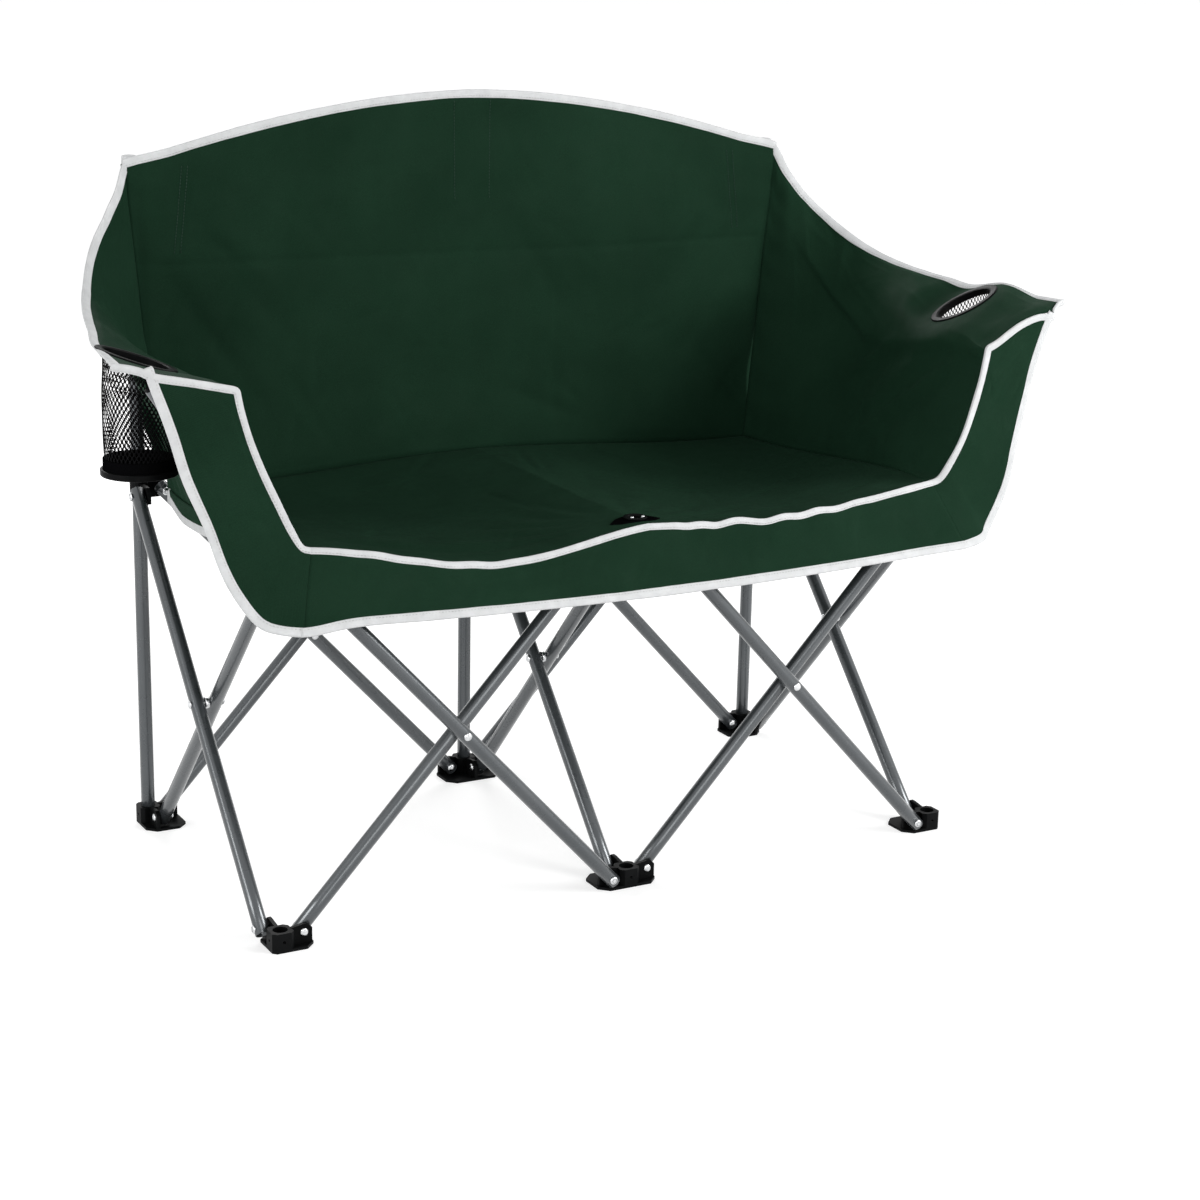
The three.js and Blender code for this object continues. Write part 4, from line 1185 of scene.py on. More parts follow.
# Moulded pieces of the frame that keep their solids
BEVEL = 0.7
for name, piece in frame["nodes"].items():
    if name.startswith(("foot_", "hub_", "post_cap_", "arm_cap_")):
        piece.data.materials.clear()
        piece.data.materials.append(PLASTIC)
        bevel = piece.modifiers.new("edges", "BEVEL")
        bevel.width = BEVEL * MM
        bevel.segments = 2
        bevel.limit_method = "ANGLE"
        bevel.angle_limit = math.radians(35)
        bevel.harden_normals = True


# Fabric
def edge_of(p, which):
    """An edge line of a grid of points, with its directions into the grid and across it."""
    normals = grid_normals(p)
    if which == "u0":
        return p[0], unit(p[1] - p[0]), normals[0]
    if which == "u1":
        return p[-1], unit(p[-2] - p[-1]), normals[-1]
    if which == "v0":
        return p[:, 0], unit(p[:, 1] - p[:, 0]), normals[:, 0]
    return p[:, -1], unit(p[:, -2] - p[:, -1]), normals[:, -1]


def bind_cloth(piece, binding, replaced=None):
    """Rides cloth on a body. A panel replaces its solid."""
    body, axis, anchor, keep = binding
    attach(piece, body)
    if replaced:
        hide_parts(replaced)
    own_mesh(piece)


def side_binding(word):
    anchor = (SIDES[word] * FOOT_SPACING * MM, REAR_Y * MM, 0.6)
    return f"rear_{word}_post", (0, 1, 0), anchor, FOLD_KEEP_DEPTH


SEAT_FRONT_BINDING = ("front_middle_hub", (1, 0, 0), (0, FRONT_Y * MM, 0.5), FOLD_KEEP)
SEAT_REAR_BINDING = ("rear_middle_slider", (1, 0, 0), (0, REAR_Y * MM, 0.5), FOLD_KEEP)
BACK_BINDING = ("rear_middle_post", (1, 0, 0), (0, REAR_Y * MM, 0.7), FOLD_KEEP)
BAND_BINDING = ("front_middle_hub", (1, 0, 0), (0, FRONT_Y * MM, 0.45), FOLD_KEEP)

FAN_START = 34  # how far from the front middle hub the seat's folds start
FAN_FOLDS = ((8, 330), (21, 290), (36, 240), (52, 190), (70, 230))  # their bearings and reaches
SEAT_CREASES = (
    ((14, 60), (60, 230), 8, 2.0),
    ((36, 70), (84, 220), 7, 1.4),
    ((-420, -150), (-120, -205), 12, 2.6),
)


def seat_relief(x, y):
    """Upward relief of the seat."""
    relief = 2.4 * noise(x, y, 120, 11) + 0.8 * noise(x, y, 42, 12)
    for sign in (-1, 1):
        for k, (bearing, reach) in enumerate(FAN_FOLDS):
            along = np.array([sign * math.cos(math.radians(bearing)), math.sin(math.radians(bearing))])
            start, end = (along * far + [0, FRONT_Y] for far in (FAN_START, reach))
            relief += crease(x, y, start, end, 7 + k, 1.5)
    relief += creases(x, y, SEAT_CREASES)
    relief += fine_creases(x, y, ((-440, -220), (440, 230)), 46, 130, 13, 0.2, 0.9, 0.7, 6)
    to_side = np.maximum(seat_edge_x(0.5) - np.minimum(np.abs(x), FOOT_SPACING), 0)
    return relief + pucker(y, to_side, 46, 2.0, 34, 14)


SEAM_TURN = 1.5  # how far two pieces of cloth turn away from the eye where they are sewn together
SEAM_OVERLAP = 1.2
SEAM_REACH = 7


def seam_turn(distance):
    """How far cloth turns away at this distance from a seam."""
    return SEAM_TURN * np.exp(-((distance / SEAM_REACH) ** 2))


def front_wave(x):
    """Small waves of the seat's front edge on both sides of its patch, weaker on the left."""
    wave = 2.0 * noise(x, 0 * x, 31, 15) + 1.6 * np.sin(2 * np.pi * (x - 55) / 64)
    right = smooth(x, 25, 70) * (1 - smooth(x, 250, 380))
    left = smooth(-x, 150, 260) * (1 - smooth(-x, 380, 430))
    return wave * (right + 0.35 * left)


COLUMNS, ROWS = 240, 120
UNDER_ROWS = 3  # of the seat's front half under its rear half
UNDER_DROP = 0.15
u, v = grid(COLUMNS, ROWS)
seat = seat_point(u, v)
seat[..., 2] += front_wave(seat[..., 0]) * (1 - smooth(v, 0, 0.12))
fade = smooth(v, 0, 0.05) * smooth(1 - v, 0, 0.03) * smooth(np.minimum(u, 1 - u), 0, 0.02)
near_patch = np.hypot(seat[..., 0] / 44, (seat[..., 1] - FRONT_Y) / 26)
seat[..., 2] += seat_relief(seat[..., 0], seat[..., 1]) * fade * smooth(near_patch, 0.9, 1.5)
to_side = seat_edge_x(v) - np.abs(seat[..., 0])
to_back = SEAT_REAR_Y - seat[..., 1]
seat[..., 2] -= np.maximum(seam_turn(to_side), seam_turn(to_back)) * smooth(v, 0, 0.06)
seat[:, -1, 1] += SEAM_OVERLAP
for edge in (0, -1):
    seat[edge, :, 0] += np.sign(seat[edge, :, 0]) * SEAM_OVERLAP * smooth(v[edge], 0.01, 0.06)
half = ROWS // 2
front_rows = seat[:, : half + 1 + UNDER_ROWS].copy()
front_rows[:, half + 1 :, 2] -= UNDER_DROP * np.arange(1, UNDER_ROWS + 1)
front_part = closed_sheet("seat_front", front_rows, (0, 0, -1), FABRIC)
rear_part = closed_sheet("seat_rear", seat[:, half:], (0, 0, -1), FABRIC)
edge_ends = np.empty(2 * len(rear_part.data.edges), np.int32)
rear_part.data.edges.foreach_get("vertices", edge_ends)
joint = np.isin(edge_ends, np.arange(COLUMNS + 1) * (ROWS - half + 1)).reshape(-1, 2).all(axis=1)
rear_part.data.edges.foreach_set("use_edge_sharp", joint)


def cut_hole(piece, centre, radius, axis, depth):
    """Cuts a round hole through a skin."""
    profile = [(0, -depth), (radius, -depth), (radius, depth), (0, depth)]
    cutter = lathe("cutter", profile, FABRIC, 64, basis_on(axis, [0.31, 0.52, 0.1]), centre)
    cut = piece.modifiers.new("hole", "BOOLEAN")
    cut.operation = "DIFFERENCE"
    cut.solver = "EXACT"
    cut.object = cutter
    applied(piece)
    bpy.data.objects.remove(cutter)


hub_top = (0, FRONT_Y, HUB_PIN_HEIGHT + SEAT_FRONT_MIDDLE_RISE)
cut_hole(front_part, hub_top, PATCH_HOLE_RADIUS, (0.0, 0.0, 1.0), 40)
bind_cloth(front_part, SEAT_FRONT_BINDING, "seat_panel")
bind_cloth(rear_part, SEAT_REAR_BINDING, "seat_panel")

# Back, with the seams of its post sleeves
POCKET_SEAM_X = 28
POCKET_SEAM_TOP = HUB_PIN_HEIGHT + 515
POCKET_SEAM_LOW = HUB_PIN_HEIGHT + 382
CORNER_SEAM_TOP = HUB_PIN_HEIGHT + 436
CORNER_SEAM_LOW = HUB_PIN_HEIGHT + 324
LEVEL_SEAM_Z = HUB_PIN_HEIGHT + 304
CORNER_SEAM_X = 420
BACK_CREASES = (  # of the right half
    ((455, 905), (250, 640), 15, 2.2),
    ((470, 800), (300, 560), 13, 1.8),
    ((40, 870), (170, 660), 13, 1.8),
    ((25, 600), (210, 520), 11, 1.8),
    ((480, 520), (360, 640), 9, 2.4),
)
CORNER_WIDE = 7  # how far the cloth's upper corners reach past the posts


def corner_out(v, w):
    """Outward shift of a side panel at its upper rear corner."""
    return CORNER_WIDE * smooth(w, 0.5, 1) * (1 - smooth(v, 0, 0.12))


def back_relief(x, z):
    """Forward relief of the back, with its seams."""
    relief = 2.6 * noise(x, z, 150, 21) + 0.9 * noise(x, z, 48, 22)
    middle_seam = np.abs(np.abs(x) - POCKET_SEAM_X) + 60 * (z < POCKET_SEAM_LOW)
    side_seam = np.abs(np.abs(x) - CORNER_SEAM_X - (CORNER_SEAM_TOP - z) * 0.12)
    side_seam += 60 * (z < CORNER_SEAM_LOW)
    relief -= 1.6 * np.exp(-((np.minimum(middle_seam, side_seam) / 3.2) ** 2))
    relief -= 1.3 * np.exp(-(((z - LEVEL_SEAM_Z - 4 * noise(x, 0 * x, 200, 23)) / 5) ** 2))
    relief += creases(x, z, BACK_CREASES, -1) + creases(x, z, BACK_CREASES)
    relief += fine_creases(x, z, ((-470, 520), (470, 980)), 60, 150, 24, 1.2, 0.8, 0.7, 7)
    relief += pucker(x, np.maximum(back_top_z(x) - z, 0), 38, 1.5, 26, 25)
    return relief + pucker(z, np.maximum(FOOT_SPACING - np.abs(x), 0), 44, 1.8, 26, 26)


u, v = grid(240, 130)
back = back_point(u, v)
share = np.linspace(0, 1, 80)
panel_rear = side_point(0 * share, share)
panel_rear[:, 0] += corner_out(0 * share, share)
to_panel = np.interp(back[..., 2], panel_rear[:, 2], panel_rear[:, 0])
to_panel -= FOOT_SPACING - BACK_EDGE_INSET - SIDE_GAP
outer_part = smooth(np.abs(2 * u - 1), 0.9, 1) * smooth(v, 0.25, 0.4)
back[..., 0] += np.sign(2 * u - 1) * np.maximum(to_panel, 0) * outer_part
fade = smooth(v, 0, 0.04) * smooth(1 - v, 0.025, 0.06) * smooth(np.minimum(u, 1 - u), 0, 0.02)
post_lines = np.min([np.abs(back[..., 0] - s * FOOT_SPACING) for s in (-1, 0, 1)], axis=0)
clear = smooth(post_lines, 12, 44)
relief = back_relief(back[..., 0], back[..., 2])
relief = np.where(relief < 0, relief * clear, relief)
back[..., 1] -= np.maximum(relief, -6) * fade
to_side = FOOT_SPACING - BACK_EDGE_INSET - np.abs(back[..., 0])
back[..., 1] += seam_turn(to_side) * smooth(v, 0.03, 0.2)
back[..., 1] = np.minimum(back[..., 1], BACK_Y + SEAM_TURN)
back[:, 0, 1] -= SEAM_OVERLAP
seat_rear = seat[:, -1][np.argsort(seat[:, -1, 0])]
back[:, 0, 2] = np.interp(back[:, 0, 0], seat_rear[:, 0], seat_rear[:, 2]) - 2 * SEAM_OVERLAP
for edge in (0, -1):
    back[edge, :, 0] += np.sign(back[edge, :, 0]) * SEAM_OVERLAP
back_cloth = closed_sheet("back_cloth", back, (0, 1, 0), FABRIC)
bind_cloth(back_cloth, BACK_BINDING, "back_panel")


def rounded_corner(values, corner, reach=5, rounds=12):
    """Softens a line of values round one of its corners."""
    values = values.copy()
    near = slice(corner - reach, corner + reach + 1)
    for _ in range(rounds):
        part = values[corner - reach - 1 : corner + reach + 2]
        values[near] = (part[:-2] + 2 * part[1:-1] + part[2:]) / 4
    return values


# Sleeves of the back over the post tops
SLEEVE_GAP = 0.8
SLEEVE_SKIN = 1.2
SLEEVE_FLAT = 5
SLEEVE_TOP_ABOVE = 2
SLEEVE_TURN = math.radians(270)
SLEEVE_WING = 0.47  # share of the turn from its middle past which the sleeve lies flat on the back
for word, side in SIDES.items():
    s, t = grid(40, 44)
    turn = (s - 0.5) * SLEEVE_TURN
    z = post_top(side) + CAP_HEIGHT / 2 + SLEEVE_TOP_ABOVE - POCKET_LENGTH * t
    fit = TUBE_RADIUS + SLEEVE_GAP + 0.5 * noise(s * 60, z, 26, 31) + 0.6 * smooth(t, 0.7, 1)
    fit = fit * np.minimum(1, 0.25 + smooth(1 - t, 0, 0.001) + smooth(t, 0, 0.04))
    wings = np.abs(s - 0.5) > SLEEVE_WING
    flat = TUBE_RADIUS + np.where(np.sign(s - 0.5) == side, SLEEVE_GAP, SLEEVE_FLAT)
    x = side * FOOT_SPACING + np.where(wings, np.sign(s - 0.5) * flat, fit * np.sin(turn))
    y = np.where(wings, BACK_Y + SKIN + 0.4, REAR_Y + fit * np.cos(turn))
    sleeve = closed_sheet(f"back_sleeve_{word}", points(x, y, z), (0, 1, 0), FABRIC, SLEEVE_SKIN)
    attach(sleeve, "rear_middle_post" if side == 0 else f"rear_{word}_post")


# Folded tape over the tops of the outer posts, where the back meets the side panels
CORNER_HALF_WIDTH = 10
CORNER_HALF_DEPTH = 11.5
CORNER_LENGTH = 20
CORNER_TOP_ABOVE = 14.5
for word in ("left", "right"):
    side = SIDES[word]
    s, t = np.meshgrid(np.linspace(0, 2 * np.pi, 61)[:-1], np.linspace(0, 1, 22), indexing="ij")
    height = CORNER_LENGTH * np.sin(t * np.pi / 2) ** 0.7
    size = (1 - smooth(t, 0.55, 1) ** 2 * 0.94) * (1 + 0.05 * noise(s * 20, t * 30, 16, 171))
    x = side * FOOT_SPACING + size * CORNER_HALF_WIDTH * np.cos(s)
    y = REAR_Y + size * CORNER_HALF_DEPTH * np.sign(np.sin(s)) * np.abs(np.sin(s)) ** 0.75
    z = post_top(side) + CAP_HEIGHT / 2 + CORNER_TOP_ABOVE - CORNER_LENGTH + height + 0 * s
    vertices, faces = tube_of(np.swapaxes(points(x, y, z), 0, 1))
    run = np.stack([(s.T * CORNER_HALF_WIDTH).ravel(), height.T.ravel()], axis=1)
    run = np.concatenate([run, run[:1], run[-1:]])
    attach(make_object(f"corner_tape_{word}", vertices, faces, TAPE, run), f"rear_{word}_post")


# Side panels, each with a flat seat for its cup ring
CUP_HOLD = (2, 52)  # outside the ring, from where the cloth is held to where it is free
CUP_HOLD_HEIGHT = (60, 110)
CUP_UNDER = 1.0  # of the held cloth under the ring


def seated(p, centre, up):
    """Flattens the cloth under a cup ring."""
    offset = p - centre
    height = offset @ up
    away = np.linalg.norm(offset - height[..., None] * up, axis=-1)
    hold = 1 - smooth(away - CUP_RING_RADIUS, *CUP_HOLD)
    near = 1 - smooth(np.abs(height), *CUP_HOLD_HEIGHT)
    return p - up * ((height + CUP_UNDER) * hold * near)[..., None]


WING_SLACK = 12  # how far the wing's outer edge sags outwards
CORNER_DROP = {"left": 2, "right": 22}  # how far the arm's inner corner hangs down
CORNER_DROP_REACH = 44
BAND_TOP_X = FOOT_SPACING + ARM_REACH * BAND_OUTER_SHARES[-1][0]
TIP_DROP = {"left": -8, "right": 7}  # of the arm's front edge near its tip
TIP_DROP_X = {"left": mix(BAND_TOP_X, ARM_TIP_X, 0.45), "right": BAND_TOP_X}
TIP_DROP_BELOW = 7
TIP_DROP_REACH = 16
LOW_CORNER_DROP = {"left": 9, "right": 2}  # of the band's lower corners
LOW_CORNER_REACH = 46


def drooped(p, word):
    """Lets the corners of the arm and the band hang, or on the left the arm's tip rise, a little."""
    p = p.copy()
    low_z = float(band_bottom_z(1))
    for x, y, z, drop, reach in (
        (ARM_INNER_X, FACE_Y, ARM_INNER_Z, CORNER_DROP[word], CORNER_DROP_REACH),
        (TIP_DROP_X[word], FACE_Y, ARM_TIP_Z - TIP_DROP_BELOW, TIP_DROP[word], TIP_DROP_REACH),
        (BAND_END_X, BAND_BOTTOM_Y, low_z, LOW_CORNER_DROP[word], LOW_CORNER_REACH),
    ):
        away = (np.abs(p[..., 0]) - x) ** 2 + (p[..., 1] - y) ** 2 + (p[..., 2] - z) ** 2
        p[..., 2] -= drop * np.exp(-away / reach**2)
    return p


TO_BAND_UP = (0.5, 0.62)  # from where the side panel's front leaves the band's edge to where it is free
TO_BAND_END = 0.985  # share of the band's inner edge that it follows
TO_BAND_FROM = 0.74  # how far along the panel the pull starts
TO_BAND_POWER = 1.4


def to_band(p, v, w):
    """Draws the front of the side panel forward to the arm band's inner edge."""
    share = TO_BAND_END * np.minimum(1, w / TO_BAND_UP[0])
    goal = INNER_EDGE.at_length(share) + np.array([-1.0, 1.0, 0.0])
    pull = (goal[-1:] - p[-1:]) * (1 - smooth(w[-1:], *TO_BAND_UP))[..., None]
    return p + pull * smooth(v, TO_BAND_FROM, 1)[..., None] ** TO_BAND_POWER


TO_ARM_UP = (0.45, 0.55)  # from where the pull starts up the wing's front edge to where it is full
TO_ARM_FROM = 0.86  # how far along the panel the pull starts
TO_ARM_FREE = 38  # how far from the arm's tip it starts to fade


def to_arm(p, v, w, word):
    """Draws the wing's front edge forward to the arm band's top edge."""
    share = np.linspace(0, 1, 60)
    top = drooped(arm_point(np.ones_like(share), share), word)
    top = top[np.argsort(top[:, 0])]
    edge = p[-1:]
    held = 1 - smooth(edge[..., 0], ARM_TIP_X - TO_ARM_FREE, ARM_TIP_X)
    part = smooth(w, *TO_ARM_UP) * smooth(v, TO_ARM_FROM, 1) * held
    pull = np.interp(edge[..., 0], top[:, 0], top[:, 1]) + 2 * SIDE_GAP - edge[..., 1]
    p = p.copy()
    p[..., 1] += np.minimum(pull, 0) * part
    return p


SIDE_HEIGHT = WING_RISE + 40  # about, along the cloth
RIDGE_ALONG = (0.0, 0.2, 0.3, 0.46, 0.57, 0.9, 1.0)  # the shoulder's ridge, from the back to the front
RIDGE_UP = (0.82, 0.7, 0.585, 0.415, 0.395, 0.44, 0.46)
RIDGE_HOLLOW = 9
RIDGE_SWELL = 3
SIDE_CREASES = (  # where along and how far up a fold starts and ends, its width and its depth
    (0.47, 0, 0.92, 150, 9, 5.5),
    (0.42, 95, 0.6, 150, 8, 5.0),
)


def side_relief(v, w, seed):
    """Relief of a side panel, outwards, with v from the back to the front and w upwards."""
    x, y = (1 - v) * FOOT_DEPTH, w * SIDE_HEIGHT
    relief = 3.0 * noise(x, y, 110, seed) + 1.2 * noise(x, y, 40, seed + 1)
    relief += fine_creases(x, y, ((20, 20), (470, 320)), 26, 120, seed + 2, 0.9, 0.7, 0.7, 6)
    below = (np.interp(v, RIDGE_ALONG, RIDGE_UP) - w) * SIDE_HEIGHT
    hollow = smooth(below, -12, 12) * np.exp(-np.maximum(below, 0) / 60)
    swell = np.exp(-((below / 26) ** 2))
    relief += (RIDGE_HOLLOW * hollow - RIDGE_SWELL * swell) * smooth(v, 0.1, 0.35)
    for start, low, end, high, width, depth in SIDE_CREASES:
        start_x, end_x = (1 - start) * FOOT_DEPTH, (1 - end) * FOOT_DEPTH
        relief += crease(x, y, (start_x, low), (end_x, high), width, depth)
    relief += pucker(y, v * FOOT_DEPTH, 40, 2.2, 30, seed + 3)
    relief += pucker(x, (1 - w) * 300, 42, 2.0, 26, seed + 4)
    return relief + pucker(x, w * 300, 36, 1.8, 22, seed + 5)


u, v = grid(150, 110)
panel = side_point(u, v)
outward = grid_normals(panel)
if np.sum(outward * [1.0, 0.0, -0.2]) < 0:
    outward = -outward
panels = {}
for word, seed in (("left", 41), ("right", 51)):
    fade = smooth(v, 0, 0.04) * smooth(1 - v, 0.035, 0.08) * smooth(np.minimum(u, 1 - u), 0, 0.03)
    shaped = panel + outward * (side_relief(u, v, seed) * fade)[..., None]
    shaped[..., 0] += corner_out(u, v)
    shaped[..., 0] += WING_SLACK * bump(np.clip((u - 0.2) / 0.8, 0, 1)) * smooth(v, 0.5, 1)
    sign = SIDES[word]
    centre, _, up = cup_place(word)
    shaped = seated(shaped, centre * [sign, 1, 1], up * [sign, 1, 1])
    shaped = to_arm(drooped(to_band(shaped, u, v), word), u, v, word)
    shaped[..., 1] = np.minimum(shaped[..., 1], BACK_Y)
    shaped[0, :, 0] -= SEAM_OVERLAP
    shaped[0, :, 1] += SEAM_TURN * smooth(v[0], 0, 0.08)
    shaped[:, 0, 0] -= SEAM_OVERLAP
    shaped[:, 0, 2] -= 2 * SEAM_OVERLAP
    if word == "left":
        shaped = mirrored(shaped)
    panels[word] = shaped
    made = closed_sheet(f"side_cloth_{word}", shaped, (sign, 0, -0.2), FABRIC)
    cut_hole(made, centre, CUP_BORE_RADIUS + 2, up, 30)
    bind_cloth(made, side_binding(word), f"side_panel_{word}")
    rim = edge_of(shifted(shaped, (sign, 0, -0.2)), "v1")
    for piece in tape(f"side_{word}_tape", *rim, TAPE, seed + 10):
        bind_cloth(piece, side_binding(word))

# Flap that hangs outside the seat's edge, with a taped hem
FLAP_REAR_Y = 233
FLAP_FRONT_Y = -150
FLAP_OUT = 3
FLAP_RISE = 3  # of its top over the seat's edge
FLAP_DROPS = (15, 27)  # at its rear end and in front of it


def flap_drop(y):
    return mix(*FLAP_DROPS, smooth(FLAP_REAR_Y - y, 0, 90)) * (1 - 0.7 * smooth(-y, 60, 150))


u, v = grid(120, 14)
for word, seed in (("left", 141), ("right", 151)):
    sign = SIDES[word]
    y = mix(FLAP_REAR_Y, FLAP_FRONT_Y, u)
    along = (SEAT_REAR_Y - y) / (SEAT_REAR_Y - PANEL_FRONT_Y)
    x = seat_edge_x(1 - along) + FLAP_OUT + 2.5 * noise(y, 40 * v, 55, seed) * v
    top = seat_edge_z(1 - along) + FLAP_RISE
    flap = points(sign * x, y, top - (flap_drop(y) + FLAP_RISE) * v)
    made = closed_sheet(f"side_flap_{word}", flap, (sign, 0, 0), FABRIC)
    middle = shifted(flap, (sign, 0, 0))
    ends_and_hem = zip(edge_of(middle, "u0"), edge_of(middle, "v1"))
    rim = [np.concatenate([end[::-1], hem[1:]]) for end, hem in ends_and_hem]
    rim = [rounded_corner(values, flap.shape[1] - 1, 3, 6) for values in rim]
    for piece in [made] + tape(f"flap_{word}_tape", *rim, TAPE, seed + 5):
        bind_cloth(piece, side_binding(word))


# Back trim
def on_back(x, z):
    """Points a little in front of the back, from its grid's nearest ones."""
    flat = back.reshape(-1, 3)
    nearest = [np.argmin((flat[:, 0] - a) ** 2 + (flat[:, 2] - b) ** 2) for a, b in zip(x, z)]
    return points(x, flat[nearest, 1] - 0.3, z)


SEAM_POINTS = 60
CORNER_SEAMS_APART = 9
CORNER_SEAM_LEAN = 13
back_trim = tape("back_tape", *edge_of(shifted(back, (0, 1, 0)), "v1"), TAPE, 61)
for sign in (-1, 0, 1):
    for offset in (-POCKET_SEAM_X, POCKET_SEAM_X):
        if sign == 0:
            x0, x1, z0, z1 = offset, offset * 0.96, POCKET_SEAM_TOP, POCKET_SEAM_LOW
        else:
            x0 = sign * (CORNER_SEAM_X + (offset > 0) * CORNER_SEAMS_APART)
            x1, z0, z1 = x0 + sign * CORNER_SEAM_LEAN, CORNER_SEAM_TOP, CORNER_SEAM_LOW
        line = on_back(np.linspace(x0, x1, SEAM_POINTS), np.linspace(z0, z1, SEAM_POINTS))
        name = f"back_stitches_{sign + 1}_{offset + POCKET_SEAM_X}"
        back_trim.append(stitch_row(line, np.tile([0.0, -1.0, 0.0], (SEAM_POINTS, 1)), name))
        back_trim[-1].data.materials[0] = GREEN_THREAD
for piece in back_trim:
    bind_cloth(piece, BACK_BINDING)


# Front band
BAND_HEIGHT = 90  # about, along the cloth


def band_relief(x, share):
    """Forward relief of the front band."""
    y = share * BAND_HEIGHT
    relief = 2.0 * noise(x, y, 95, 71) + 0.8 * noise(x, y, 30, 72)
    relief += fine_creases(x, y, ((-440, 10), (440, 80)), 26, 90, 73, 1.1, 0.6, 0.8, 6)
    relief += pucker(x, (1 - share) * BAND_HEIGHT, 34, 1.6, 22, 74)
    return relief + pucker(x, y, 30, 1.4, 18, 75)


BAND_HOLLOW = 6  # of the band under the sagging left half of the seat's front edge
u, v = grid(260, 30)
band = band_point(u, v)
fade = smooth(np.minimum(v, 1 - v), 0.13, 0.3) * smooth(np.minimum(u, 1 - u), 0, 0.02)
band[..., 1] -= band_relief(band[..., 0], v) * fade
band[..., 1] += BAND_HOLLOW * bump(np.clip((band[..., 0] + 380) / 340, 0, 1)) * bump(smooth(v, 0.3, 0.95))
band[..., 2] += front_wave(band[..., 0]) * smooth(v, 0.3, 1)
for edge in (0, -1):
    band[edge, :, 0] += np.sign(band[edge, :, 0]) * SEAM_OVERLAP
left_end, right_end = drooped(band, "left"), drooped(band, "right")
band = np.where(band[..., :1] < 0, left_end, right_end)
band_cloth = closed_sheet("front_band_cloth", band, (0, -1, 0), FABRIC)
bind_cloth(band_cloth, BAND_BINDING, "front_band")
for which, seed, width in (("v1", 81, INNER_TAPE_WIDTH), ("v0", 91, TAPE_WIDTH)):
    rim = edge_of(shifted(band, (0, -1, 0)), which)
    for piece in tape(f"band_tape_{which}", *rim, TAPE, seed, width):
        bind_cloth(piece, BAND_BINDING)


# Arm bands
ARM_LENGTH = 420  # about, along the band and across it
ARM_WIDTH = 150


def arm_relief(u, v, seed):
    """Forward relief of an arm band."""
    x, y = u * ARM_LENGTH, v * ARM_WIDTH
    relief = 2.4 * noise(x, y, 80, seed) + 0.9 * noise(x, y, 28, seed + 1)
    relief += fine_creases(x, y, ((20, 10), (400, 140)), 18, 110, seed + 2, 0.3, 0.6, 0.9, 6)
    relief += pucker(x, y, 34, 1.5, 18, seed + 3)
    return relief + pucker(x, ARM_WIDTH - y, 34, 1.5, 18, seed + 4)


TIP_POINTS = 40  # of the side panel's front edge, outwards of the band
u, v = grid(150, 44)
arm = arm_point(u, v)
for word, seed in (("left", 101), ("right", 111)):
    sign = SIDES[word]
    fade = smooth(np.minimum(v, 1 - v), 0.1, 0.2) * smooth(u, 0, 0.03) * smooth(1 - u, 0.04, 0.1)
    shaped = arm.copy()
    shaped[..., 1] -= np.maximum(arm_relief(u, v, seed), 0) * fade
    shaped = drooped(shaped, word)
    shaped[0, :, 0] -= SEAM_OVERLAP
    shaped[0, :, 1] += SEAM_OVERLAP / 2
    if word == "left":
        shaped = mirrored(shaped)
    made = closed_sheet(f"arm_cloth_{word}", shaped, (0, -1, 0), FABRIC)
    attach(made, f"arm_{word}")
    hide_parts(f"arm_band_{word}")
    middle = shifted(shaped, (0, -1, 0))
    top, inner, outer = (edge_of(middle, which) for which in ("u1", "v0", "v1"))
    tip = panels[word][-1, ::-1][:TIP_POINTS] + [0, -2.5, 0]
    tip = tip[np.abs(tip[:, 0]) > np.abs(top[0][-1, 0]) + 4]
    firsts = (tip, np.tile(top[1][-1], (len(tip), 1)), np.tile(top[2][-1], (len(tip), 1)))
    rim = [np.concatenate([first, a[::-1], b[-2::-1]]) for first, a, b in zip(firsts, top, inner)]
    rim = [rounded_corner(values, len(tip) + len(top[0]) - 1, 4, 8) for values in rim]
    trim = tape(f"arm_{word}_tape_inner", *rim, TAPE, seed + 20, INNER_TAPE_WIDTH)
    trim += tape(f"arm_{word}_tape_outer", *outer, TAPE, seed + 40)
    for piece in trim:
        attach(piece, f"arm_{word}")


# Patch over the front middle hub
PATCH_SKIN = 1.5
PATCH_TAPER = 0.35  # how much the patch narrows from its middle to its ends


def patch_surface(a, b):
    """The patch's upper face over the seat, widest at its middle, with a and b from -1 to 1."""
    x = PATCH_WIDTH / 2 * a * (1 - PATCH_TAPER * np.abs(b))
    y = FRONT_Y + PATCH_DEPTH / 2 * b * (1 - PATCH_TAPER * np.abs(a))
    front = seat_front_y(np.zeros_like(x))
    on_seat = seat_point((x / seat_edge_x(0) + 1) / 2, (y - front) / (SEAT_REAR_Y - front))
    return points(x, y, on_seat[..., 2] + SEAT_GAP + PATCH_SKIN + 0.25 * noise(x, y, 14, 121))


